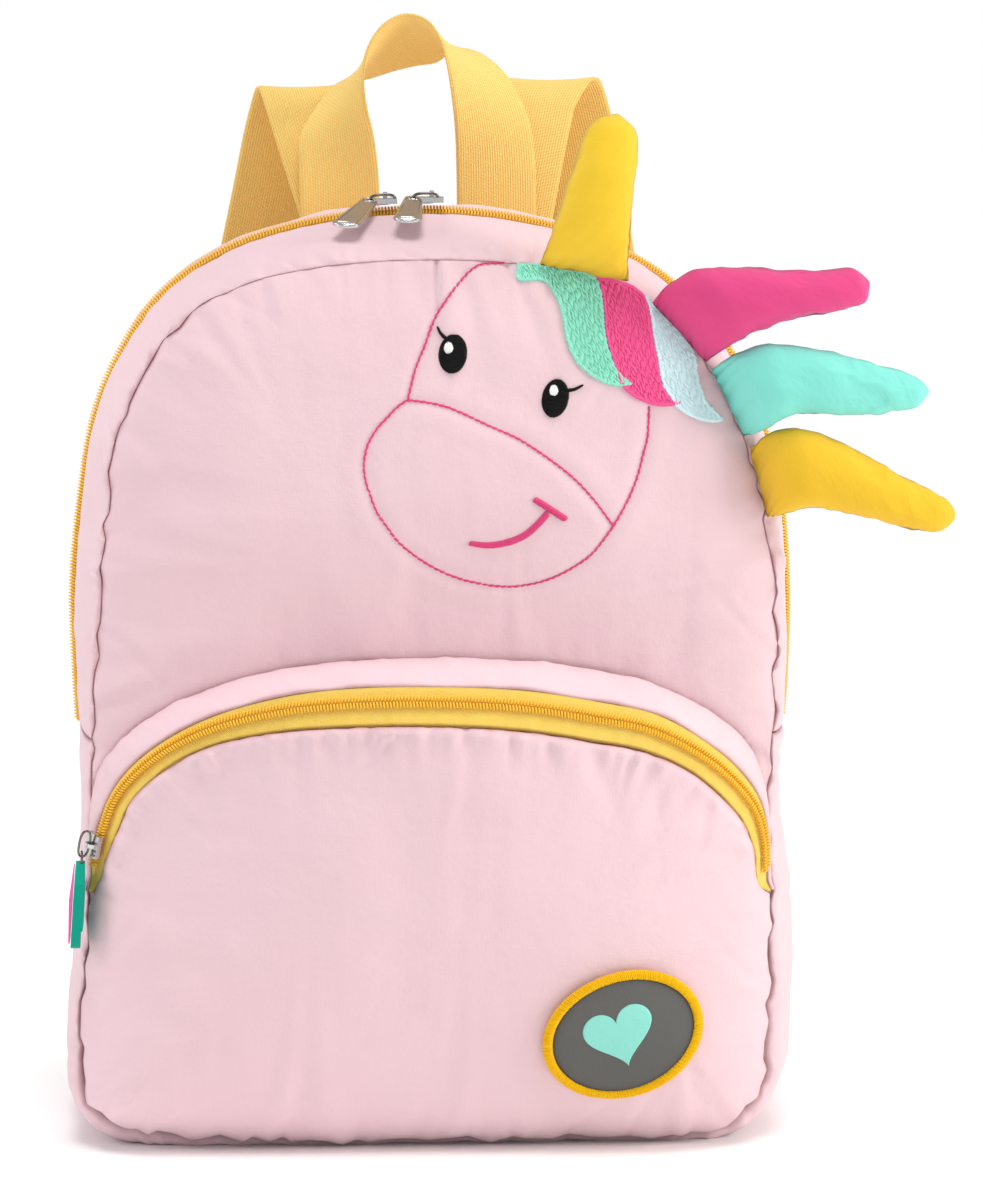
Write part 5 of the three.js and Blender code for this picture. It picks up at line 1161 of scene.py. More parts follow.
    # painted shade beside the seams and along the pocket panel's rolled edge at the zip
    painted_shade = np.maximum(painted_seam_shade(d, sd, 23, reach=0.3, amount=0.7) * mix(1, 0.4, smooth(-0.5, -0.95, nn[:, 1])), calm * 0.8 * np.exp(-da / (0.7 * (1 + 0.4 * noise1(s_a, 5, 97)))))
    make("pocket_panel_cloth", pts, panel_faces(F, first, len(XZ)), MAT["pink"], uv=pts[:, [0, 2]],
         attrs={"painted_shade": np.concatenate([painted_shade, np.zeros(len(x))])}, replaces=["pocket_panel"])


# ---------------------------------------------------------------- stuffed horn and locks
def swell(G, held, frames=20, limit=1.0):
    """Cloth simulation of a closed loft G (n, m, 3) under inner pressure, held at its sewn points; returns the moves."""
    n, m, _ = G.shape
    faces = [tuple(int(v) for v in f) for f in grid_faces(n, m, ring_m=True)]
    faces += [tuple(range(m))[::-1], tuple((n - 1) * m + k for k in range(m))]
    me = bpy.data.meshes.new("swell")
    me.from_pydata([tuple(v) for v in G.reshape(-1, 3) * MM], [], faces)
    ob = bpy.data.objects.new("swell", me)
    scene = bpy.context.scene
    scene.collection.objects.link(ob)
    ob.vertex_groups.new(name="held").add([int(v) for v in np.where(held.ravel())[0]], 1.0, "REPLACE")
    cloth = ob.modifiers.new("cloth", "CLOTH")
    c = cloth.settings
    c.quality, c.mass = 6, 0.15
    c.tension_stiffness = c.compression_stiffness = 12
    c.shear_stiffness, c.bending_stiffness = 6, 0.4
    c.use_pressure, c.uniform_pressure_force = True, 4.0
    c.vertex_group_mass = "held"
    c.shrink_min = -0.004
    c.effector_weights.gravity = 0
    cloth.collision_settings.use_collision = False
    cloth.point_cache.frame_start, cloth.point_cache.frame_end = 1, frames
    for f in range(1, frames + 1):
        scene.frame_set(f)
    shape = ob.evaluated_get(bpy.context.evaluated_depsgraph_get()).to_mesh()
    co = np.empty(len(shape.vertices) * 3)
    shape.vertices.foreach_get("co", co)
    ob.evaluated_get(bpy.context.evaluated_depsgraph_get()).to_mesh_clear()
    bpy.data.objects.remove(ob, do_unlink=True)
    bpy.data.meshes.remove(me)
    scene.frame_set(1)
    move = co.reshape(n, m, 3) / MM - G
    size = np.linalg.norm(move, axis=2, keepdims=True)
    return move * np.minimum(1, limit / np.maximum(size, 1e-6))


def finer(D, n, m):
    """A grid of moves (n0, m0, 3), closed the second way, read at n by m points."""
    u, v = np.linspace(0, D.shape[0] - 1, n), np.arange(m) / m * D.shape[1]
    i, j = np.minimum(u.astype(int), D.shape[0] - 2), v.astype(int)
    a, b = smooth(0, 1, u - i)[:, None, None], smooth(0, 1, v - j)[None, :, None]
    j1 = (j + 1) % D.shape[1]
    return mix(mix(D[i][:, j], D[i][:, j1], b), mix(D[i + 1][:, j], D[i + 1][:, j1], b), a)


def build_stuffed():
    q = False
    for name, spec in STUFFED.items():
        rows = np.array(spec["rows"], float)
        n = 50 if q else 110
        a = 1 - (1 - np.linspace(0, 1, n)) ** 1.5
        R = np.stack([catmull(np.stack([rows[:, k], rows[:, k + 1], 0 * rows[:, 0]], 1), a) for k in (0, 2, 4)], 0)
        A, B = R[0][:, :2], R[1][:, :2]
        ahead, half = R[2][:, 0], np.maximum(R[2][:, 1], 0.5)
        z = (A[:, 1] + B[:, 1]) / 2
        C = np.stack([(A[:, 0] + B[:, 0]) / 2, seam_front(z) - ahead, z], 1)
        along = np.stack([B[:, 0] - A[:, 0], 0 * z, B[:, 1] - A[:, 1]], 1)
        width = np.linalg.norm(along, axis=1) / 2
        along = unit(along)
        if name == "horn":
            root = np.exp(-arc_of(C) / 8)
            width = width * (1 + 0.2 * root)
            C[:, 2] -= 1.8 * root
        else:
            back = unit(C[0] - C[8])[[0, 2]]
            C[:, [0, 2]] += 2.4 * back * np.exp(-arc_of(C) / 6)[:, None]
        left = arc_of(C)[-1] - arc_of(C)
        blunt = np.sqrt(1 - (1 - np.clip(left / 4.5, 0.0, 1)) ** 2)  # rounded end
        width, half = width * np.maximum(blunt, 0.12), half * np.maximum(blunt, 0.12)
        m = 48 if q else 96
        w = 2 * math.pi * np.arange(m) / m
        cx, cy = np.cos(w), np.sin(w)
        ring = C[:, None] + along[:, None] * (width[:, None] * np.sign(cx) * np.abs(cx) ** 0.92)[..., None]
        ring[:, :, 1] += half[:, None] * np.sign(cy) * np.abs(cy) ** 0.92
        if not q:
            ni, mi = np.round(np.linspace(0, n - 1, 40)).astype(int), np.arange(0, m, 3)
            held = np.zeros((40, len(mi)), bool)
            held[:2] = True
            held[:, [0, len(mi) // 2]] = True
            D = swell(ring[ni][:, mi], held)
            print("swell", name, "mean %.2f mm, most %.2f mm" % (np.linalg.norm(D, axis=2).mean(), np.linalg.norm(D, axis=2).max()))
            ring = ring + 0.7 * finer(D, n, m)
        N = grid_normals(ring)
        N = N * np.sign((N * (ring - C[:, None])).sum(2).mean())
        L = arc_of(C)[:, None] + 0 * w
        side = np.minimum(np.abs(cx[None] - 1), np.abs(cx[None] + 1)) * width[:, None]  # distance from the sewn edge
        edge_s = L * np.sign(cx)[None] + 400
        seed = 200 + 10 * list(STUFFED).index(name)
        h = 0.30 * np.exp(-side / 3.0) * pucker(edge_s, seed) * 1.6 - 0.45 * np.exp(-side / 0.6)
        h = h + 0.35 * noise2(L, w[None] * width[:, None] + 50 + 0 * L, 20, seed + 4) + 0.7 * np.exp(-L / 8) * noise1(w[None] * width[:, None] + 0 * L, 5, seed + 5)
        tipd = (arc_of(C)[-1] - arc_of(C))[:, None]
        h = h * np.clip(tipd / 14, 0.1, 1)
        P, F = loft(ring + N * h[..., None])
        uv = np.stack([L.ravel(), (w[None] * width[:, None] + 0 * L).ravel()], 1)
        # painted shade along the sewn edges and at the root where the piece meets the seam
        painted_shade = np.maximum(0.45 * np.exp(-side / 0.6), 0.6 * np.exp(-L / 2.0))
        make(name + "_stuffed", P, F, MAT["horn" if name == "horn" else name], uv=np.concatenate([uv, uv[:2]]),
             attrs={"painted_shade": np.concatenate([painted_shade.ravel(), [0, 0]])}, replaces=[name])


# ---------------------------------------------------------------- webbing
def ribbon(name, node, A, B, thick=1.6, painted_shade=None):
    """Webbing between two edge lines (n, 3), with rounded edges. u runs along it, v across."""
    t = np.gradient((A + B) / 2, axis=0)
    across = B - A
    wide = np.linalg.norm(across, axis=1)
    face = unit(np.cross(t, across))
    f = np.concatenate([np.linspace(0, 1, 26)])
    edge = 0.03
    hh = np.sqrt(np.clip(1 - np.clip((edge - np.minimum(f, 1 - f)) / edge, 0, 1) ** 2, 0.05, 1))
    f2 = np.concatenate([f, f[::-1]])
    h2 = np.concatenate([hh, -hh[::-1]]) * thick / 2
    ring = A[:, None] + across[:, None] * f2[None, :, None] + face[:, None] * h2[None, :, None]
    P, F = loft(ring)
    u = arc_of((A + B) / 2)
    uv = np.stack([np.repeat(u, len(f2)), (wide[:, None] * f2[None]).ravel()], 1)
    d = np.zeros((len(A), len(f2))) if painted_shade is None else np.broadcast_to(painted_shade, (len(A), len(f2)))
    # painted shade along both rounded edges of the webbing
    d = np.maximum(d, 0.25 * np.exp(-np.minimum(f2, 1 - f2)[None] * wide[:, None] / 0.5))
    return make(name, P, F, MAT["web"], uv=np.concatenate([uv, uv[:2]]), attrs={"painted_shade": np.concatenate([d.ravel(), [0, 0]])}, replaces=[node])


def build_webbing():
    H = np.array(HANDLE, float)
    t = np.linspace(0, 1, 160)
    A, B = catmull(H[:, :3], t), catmull(H[:, 3:], t)
    k = t * 9
    w = unit(B - A)
    B = B + 0.35 * noise1(k, 1.3, 5)[:, None] * np.array([0, 1, 0.4])
    ribbon("handle_webbing", "handle", A, B)
    for name, rows in STRAPS.items():
        R = np.array(rows, float)
        n = 240
        t = np.linspace(0, 1, n)
        c = catmull(R[:, :3], t)
        tan = unit(np.gradient(c, axis=0))
        slope = np.radians(np.interp(t * (len(R) - 1), np.arange(len(R)), R[:, 3]))
        w = np.stack([np.cos(slope), 0 * slope, np.sin(slope)], 1)
        fold = np.exp(-((t * (len(R) - 1) - 5) / 1.3) ** 2)[:, None]  # across the fold the width keeps level
        w = unit(w - (1 - 0.8 * fold) * tan * (w * tan).sum(1, keepdims=True)) * 29
        # painted shade on the run that goes down behind the bag
        back = smooth(0.30, 0.42, t)[:, None]
        ribbon(name + "_webbing", name, c - w / 2, c + w / 2, painted_shade=0.25 * back)


# ---------------------------------------------------------------- embroidery on the front panel
# Lines and outlines in the front view, millimetres (x, z).
BROW = [[26.16,320.4],[16.39,319.7],[10.45,314.62],[4.24,307.04],[0.24,300.41],[-3.05,291.64],[-6.32,283.9],[-9.24,272.96]]
MUZZLE = [[-9.6,272.61],[-13.54,269.8],[-17.13,265.92],[-19.63,263.45],[-21.79,260.27],[-23.23,257.8],[-24.32,254.61],[-24.87,251.77],[-25.06,249.64],[-24.89,246.79],[-24.38,243.59],[-22.97,239.48],[-20.49,232.82],[-18.35,229.54],[-16.21,226.61],[-12.99,222.19],[-4.01,214.73],[6.78,209.08],[17.93,206.02],[29.42,205.19],[41.24,207.7],[51.23,212.82],[56.92,217.21],[64.37,227.0]]
MUZZLE_TOP = [[-9.6,272.61],[-4.97,272.23],[4.11,270.41],[10.34,267.89],[17.82,264.3],[26.73,260.34],[30.47,258.53],[40.29,252.05],[49.96,244.45],[56.78,237.2],[64.37,227.0]]
CHEEK = [[64.37,227.0],[68.68,234.51],[72.66,243.38],[75.57,254.05],[76.66,257.95],[77.43,269.68]]
SMILE = [[12.76,221.27],[19.57,220.49],[26.37,221.54],[32.43,224.06],[37.06,228.04],[40.63,232.01]]
SMILE_END = [[35.96,237.1],[47.1,229.76]]
LASH_L = [[4.46,294.41],[2.69,296.18],[1.6,298.3]]
LASH_R = [[48.14,275.76],[50.44,276.09],[53.4,277.5]]
EYES = [((6.91,288.94), 5.15, 6.95, -8, (5.39,290.99), -1), ((43.43,272.97), 4.85, 6.9, -12, (42.91,275.67), 1)]
LOCK_MINT = [[30.46,320.3],[41.94,320.2],[52.0,318.22],[57.74,316.4],[60.09,311.93],[61.18,303.76],[61.75,295.03],[63.82,287.25],[67.02,281.55],[70.97,277.6],[65.91,276.97],[59.08,279.18],[51.23,285.63],[47.71,293.42],[46.03,302.91],[43.66,309.54],[39.85,314.02],[30.52,314.81]]
LOCK_MAGENTA = [[57.74,316.4],[67.81,313.85],[71.76,312.39],[76.45,308.43],[77.68,303.28],[78.8,294.7],[80.46,285.9],[81.84,278.1],[84.71,272.72],[88.71,270.5],[81.78,269.59],[74.91,271.5],[70.94,273.7],[67.35,277.3],[63.82,287.25],[61.75,295.03],[61.18,303.76],[60.09,311.93]]
LOCK_BLUE = [[76.45,308.43],[83.3,301.93],[90.45,294.07],[94.3,287.36],[95.48,278.7],[98.31,270.86],[104.22,263.84],[98.58,263.44],[92.7,265.42],[87.24,269.12],[84.71,272.72],[81.84,278.1],[80.46,285.9],[78.8,294.7],[77.68,303.28]]
STITCHED = [BROW, MUZZLE, MUZZLE_TOP, CHEEK]


def even(line, step, closed=False):
    """Points every step along a smooth curve through the given points."""
    P = np.asarray(line, float)
    if len(P) > 2:
        P = catmull(np.concatenate([P, np.zeros((len(P), 1))], 1), np.linspace(0, 1, 60 * len(P)), closed)[:, :2]
    s = arc_of(P)
    n = max(2, int(round(s[-1] / step)) + 1)
    at = np.linspace(0, s[-1], n)
    return np.stack([np.interp(at, s, P[:, 0]), np.interp(at, s, P[:, 1])], 1)


def line_distance(x, z, lines, step=0.8):
    """Distance to the nearest of some lines, capped at 12 mm."""
    Q = np.concatenate([even(l, step) for l in lines])
    out = np.full(x.shape, 12.0)
    near = (x > Q[:, 0].min() - 12) & (x < Q[:, 0].max() + 12) & (z > Q[:, 1].min() - 12) & (z < Q[:, 1].max() + 12)
    P = np.stack([x[near], z[near]], 1)
    best = np.full(len(P), 144.0)
    for k in range(0, len(P), 6000):
        D = (P[k:k + 6000]**2).sum(1)[:, None] - 2 * P[k:k + 6000] @ Q.T + (Q**2).sum(1)[None]
        best[k:k + 6000] = D.min(1)
    out[near] = np.minimum(np.sqrt(np.maximum(best, 0)), 12)
    return out


_sx, _sz = np.meshgrid(GX0 + np.arange(GW), GZ0 + np.arange(GH), indexing="ij")
GROOVE = np.zeros((GW, GH))
SURF = np.zeros((GW, GH))


def prepare_surface():
    """Quilting relief of the sewn face, and the shown front surface as a raster."""
    d = line_distance(_sx, _sz, STITCHED)
    GROOVE[:] = -0.55 * np.exp(-(d / 1.7) ** 2) + 0.30 * np.exp(-((d - 5) / 3.5) ** 2)
    SURF[:] = front_surface(_sx, _sz)


def lift(xz, off):
    """Points on the shown front surface, raised by off."""
    xz = np.asarray(xz, float)
    y = raster(SURF, xz[..., 0], xz[..., 1])
    e = 1.0
    gx = (raster(SURF, xz[..., 0] + e, xz[..., 1]) - raster(SURF, xz[..., 0] - e, xz[..., 1])) / (2 * e)
    gz = (raster(SURF, xz[..., 0], xz[..., 1] + e) - raster(SURF, xz[..., 0], xz[..., 1] - e)) / (2 * e)
    n = unit(np.stack([gx, -np.ones_like(gx), gz], -1))
    return np.stack([xz[..., 0], y, xz[..., 1]], -1) + n * np.asarray(off, float)[..., None], n


def threads(name, segments, radius, slot, mat, rise=0.35, dip=0.12, steps=7, around=6, seed=1, surface=None):
    """Thread stitches: each segment (2, 2) in the front view becomes an arched strand whose ends dip into the cloth."""
    seg = np.asarray(segments, float)
    k = np.linspace(0, 1, steps)
    bow = np.sin(math.pi * k) ** 0.55
    rnd = np.random.default_rng(seed)
    r = np.asarray(radius) * rnd.uniform(0.9, 1.1, len(seg))
    line = seg[:, None, 0] * (1 - k)[None, :, None] + seg[:, None, 1] * k[None, :, None]
    off = -dip + (rise + dip) * bow[None] + rnd.uniform(-0.04, 0.04, len(seg))[:, None]
    P, n = (surface or lift)(line, off)
    t = unit(np.gradient(P, axis=1))
    side = unit(np.cross(t, n))
    w = 2 * math.pi * np.arange(around) / around
    rr = r[:, None] * (0.55 + 0.45 * bow[None])
    ring = P[:, :, None] + rr[:, :, None, None] * (np.cos(w)[:, None] * side[:, :, None] + 0.85 * np.sin(w)[:, None] * n[:, :, None])
    N, m = len(seg), steps * around
    pts = ring.reshape(N, m, 3)
    base = grid_faces(steps, around, ring_m=True)
    caps = [np.arange(around)[::-1], (steps - 1) * around + np.arange(around)]
    F = (base[None] + (np.arange(N) * m)[:, None, None]).reshape(-1, 4)
    caps = np.stack(caps)
    C = (caps[None] + (np.arange(N) * m)[:, None, None]).reshape(-1, around)
    # caps face outwards: the first ring is walked backwards
    make(name, pts.reshape(-1, 3), [F, C[:, ::-1]], MAT[mat])


def run_stitches(name, line, pitch=2.3, radius=0.43, mat="thread_pink"):
    P = even(line, pitch)
    d = P[1:] - P[:-1]
    t = unit(d)
    side = np.stack([-t[:, 1], t[:, 0]], 1)
    a = P[:-1] - 0.05 * d - 0.18 * side
    b = P[1:] + 0.05 * d + 0.18 * side
    threads(name, np.stack([a, b], 1), radius, "stitch_pink", mat, rise=0.34, dip=0.16, steps=7, around=8, seed=len(P))


def inside(poly, x, z):
    poly = np.asarray(poly, float)
    a, b = poly, np.roll(poly, -1, 0)
    c = np.zeros(x.shape, bool)
    for (ax, az), (bx, bz) in zip(a, b):
        if az != bz:
            c ^= ((az > z) != (bz > z)) & (x < (bx - ax) * (z - az) / (bz - az) + ax)
    return c


def smooth_loop(poly, step=0.8):
    P = np.asarray(poly, float)
    Q = even(np.concatenate([P, P[:1]]), step)
    return Q[:-1]


def fill_segments(poly, angle, pitch, length, seed, shrink=0.0, weave=0.25):
    """Stitches that fill an outline in rows at an angle (degrees), each row broken into short stitches."""
    c, s = math.cos(math.radians(angle)), math.sin(math.radians(angle))
    P = np.asarray(poly, float) @ np.array([[c, -s], [s, c]])
    rnd = np.random.default_rng(seed)
    out = []
    for v in np.arange(P[:, 1].min() + pitch / 2, P[:, 1].max(), pitch):
        a, b = P, np.roll(P, -1, 0)
        hit = (a[:, 1] > v) != (b[:, 1] > v)
        x = np.sort(a[hit, 0] + (v - a[hit, 1]) * (b[hit, 0] - a[hit, 0]) / (b[hit, 1] - a[hit, 1]))
        for x0, x1 in zip(x[::2], x[1::2]):
            x0, x1 = x0 + shrink, x1 - shrink
            if x1 - x0 < 0.5:
                continue
            cuts = np.arange(x0 - rnd.uniform(0, length), x1, length)
            cuts = np.clip(cuts + rnd.uniform(-0.3, 0.3, len(cuts)), x0, x1)
            cuts = np.unique(np.concatenate([[x0], cuts, [x1]]))
            for p, q in zip(cuts[:-1], cuts[1:]):
                if q - p > 0.35:
                    j = rnd.uniform(-weave, weave, 2) * pitch
                    out.append([[p, v + j[0]], [q + 0.15, v + j[1]]])
    out = np.asarray(out)
    return out @ np.array([[c, s], [-s, c]])


def pad(name, poly, height, mat, roll=0.8, extra=None):
    """A low raised pad in an outline: the body of thread under the top stitches."""
    Q = smooth_loop(poly, 0.9)
    area = 0.5 * (Q[:, 0] * np.roll(Q[:, 1], -1) - np.roll(Q[:, 0], -1) * Q[:, 1]).sum()
    t = unit(np.roll(Q, -1, 0) - np.roll(Q, 1, 0))
    n_in = np.stack([-t[:, 1], t[:, 0]], 1) * (1 if area > 0 else -1)
    xs, zs = np.meshgrid(np.arange(Q[:, 0].min(), Q[:, 0].max(), 1.4), np.arange(Q[:, 1].min(), Q[:, 1].max(), 1.4))
    xs, zs = xs.ravel(), zs.ravel()
    D = np.sqrt(((np.stack([xs, zs], 1)[:, None] - Q[None]) ** 2).sum(2)).min(1)
    keep = inside(Q, xs, zs) & (D > 0.9)
    inner = Q + n_in * 0.45
    pts = np.concatenate([Q, inner, np.stack([xs[keep], zs[keep]], 1)])
    n = len(Q)
    edges = [(i, (i + 1) % n) for i in range(n)]
    v, _, f, *_ = delaunay_2d_cdt([Vector((float(a), float(b))) for a, b in pts], edges, [list(range(n))], 1, 1e-5)
    v = np.array([tuple(p) for p in v])
    f = np.array([t for t in f if len(t) == 3])
    Dv = np.sqrt(((v[:, None] - Q[None]) ** 2).sum(2)).min(1)
    h = height * np.sqrt(np.clip(1 - np.clip(1 - Dv / roll, 0, 1) ** 2, 0, 1))
    top, _ = lift(v, h)
    low, _ = lift(v, np.full(len(v), -0.35))
    N = len(v)
    e = {}
    for tri in f:
        for k in range(3):
            a, b = int(tri[k]), int(tri[(k + 1) % 3])
            if (b, a) in e:
                del e[(b, a)]
            else:
                e[(a, b)] = 1
    rim = np.array([(b, a, a + N, b + N) for a, b in e])
    return make(name, np.concatenate([top, low]), [f, f[:, ::-1] + N, rim], MAT[mat])


def satin(name, line, width, slot, mat, pitch=0.4, radius=0.26, rise=0.7, seed=3, ends=0.5, surface=None):
    """Satin column: strands across a line of the given width."""
    P = even(line, pitch)
    t = unit(np.gradient(P, axis=0))
    side = np.stack([-t[:, 1], t[:, 0]], 1)
    k = np.linspace(0, 1, len(P))
    w = np.full(len(P), width / 2.0) if np.isscalar(width) else np.interp(k, np.linspace(0, 1, len(width)), width) / 2
    w = w * np.clip(np.minimum(arc_of(P), arc_of(P)[-1] - arc_of(P)) / ends + 0.75, 0, 1)[:]
    rnd = np.random.default_rng(seed)
    j = 1 + rnd.uniform(-0.04, 0.04, (len(P), 2))
    slant = 0.25 * t * w[:, None]
    segs = np.stack([P + side * (w * j[:, 0])[:, None] + slant, P - side * (w * j[:, 1])[:, None] - slant], 1)
    threads(name, segs, radius, slot, mat, rise=rise, dip=0.15, steps=9, around=6, seed=seed, surface=surface)


def edge_segments(poly, width, pitch, seed):
    Q = smooth_loop(poly, pitch)
    area = 0.5 * (Q[:, 0] * np.roll(Q[:, 1], -1) - np.roll(Q[:, 0], -1) * Q[:, 1]).sum()
    t = unit(np.roll(Q, -2, 0) - np.roll(Q, 2, 0))
    n_in = np.stack([-t[:, 1], t[:, 0]], 1) * (1 if area > 0 else -1)
    rnd = np.random.default_rng(seed)
    w = width * rnd.uniform(0.7, 1.15, (len(Q), 1))
    return np.stack([Q - 0.1 * n_in, Q + n_in * w + 0.35 * t * w], 1)


def build_face():
    for name, line in (("brow_stitches", BROW), ("muzzle_stitches", MUZZLE), ("muzzle_top_stitches", MUZZLE_TOP), ("cheek_stitches", CHEEK)):
        run_stitches(name, line)
    satin("smile_stitches", SMILE, [2.0, 2.5, 2.7, 2.7, 2.6], "stitch_pink", "thread_pink", rise=0.75)
    satin("smile_end_stitches", SMILE_END, 2.5, "stitch_pink", "thread_pink", rise=0.8, seed=5)
    satin("lash_left_stitches", LASH_L, [1.5, 1.2, 0.8], "stitch_black", "thread_black", pitch=0.34, radius=0.24, rise=0.5, seed=6)
    satin("lash_right_stitches", LASH_R, [1.5, 1.2, 0.8], "stitch_black", "thread_black", pitch=0.34, radius=0.24, rise=0.5, seed=7)
    for k, ((cx, cz), a, b, tilt, glint, _) in enumerate(EYES):
        side = "left" if k == 0 else "right"
        w = np.linspace(0, 2 * math.pi, 40, endpoint=False)
        c, s = math.cos(math.radians(tilt)), math.sin(math.radians(tilt))
        oval = lambda ra, rb, ox=0.0, oz=0.0: np.stack([ox + ra * np.cos(w) * c - rb * np.sin(w) * s, oz + ra * np.cos(w) * s + rb * np.sin(w) * c], 1)
        pad("eye_%s_pad" % side, oval(a - 0.15, b - 0.15, cx, cz), 0.55, "thread_black", roll=1.6)
        segs = fill_segments(oval(a, b, cx, cz), tilt + 4, 0.36, 40, 70 + k, weave=0.1)
        threads("eye_%s_stitches" % side, segs, 0.23, "stitch_black", "thread_black", rise=0.85, dip=0.1, steps=13, seed=80 + k)
        segs = fill_segments(oval(1.55, 2.1, *glint), tilt + 80, 0.34, 40, 90 + k, weave=0.1)
        threads("glint_%s_stitches" % side, segs, 0.22, "stitch_white", "thread_white", rise=1.15, dip=-0.75, steps=9, seed=95 + k)
    for name, poly, mat, angle in (("lock_mint", LOCK_MINT, "thread_mint", -62), ("lock_magenta", LOCK_MAGENTA, "thread_magenta", -70), ("lock_blue", LOCK_BLUE, "thread_blue", -58)):
        Q = smooth_loop(poly, 1.0)
        slot = mat.replace("thread", "stitch")
        pad(name + "_pad", poly, 0.4, mat)
        segs = fill_segments(Q, angle, 0.56, 3.4, 100 + len(name), weave=0.35)
        threads(name + "_fill", segs, 0.30, slot, mat, rise=0.78, dip=-0.18, steps=6, seed=110 + len(name))
        segs = edge_segments(poly, 1.5, 0.42, 120 + len(name))
        threads(name + "_edge", segs, 0.24, slot, mat, rise=0.85, dip=0.1, steps=6, seed=130 + len(name))


# ---------------------------------------------------------------- patch
PATCH = {"x": 66.4, "z": 46.2, "half": (25.6, 20.4), "tilt": 17, "border": 3.0}


def patch_spot(r, w, off):
    """A point of the patch at share r of its oval, raised off the pocket panel."""
    r, w = np.broadcast_arrays(np.asarray(r, float), np.asarray(w, float))
    a, b = PATCH["half"][0] * r * np.cos(w), PATCH["half"][1] * r * np.sin(w)
    t = math.radians(PATCH["tilt"])
    return patch_xz(a, b, off)


def patch_xz(a, b, off):
    t = math.radians(PATCH["tilt"])
    x = PATCH["x"] + a * math.cos(t) - b * math.sin(t)
    z = PATCH["z"] + a * math.sin(t) + b * math.cos(t)
    g = lambda x, z: pocket_depth(x, z)
    e = 1.5
    n = unit(np.stack([(g(x + e, z) - g(x - e, z)) / (2 * e), -np.ones_like(x), (g(x, z + e) - g(x, z - e)) / (2 * e)], -1))
    return np.stack([x, g(x, z), z], -1) + n * (np.asarray(off, float) * np.ones_like(x))[..., None], n


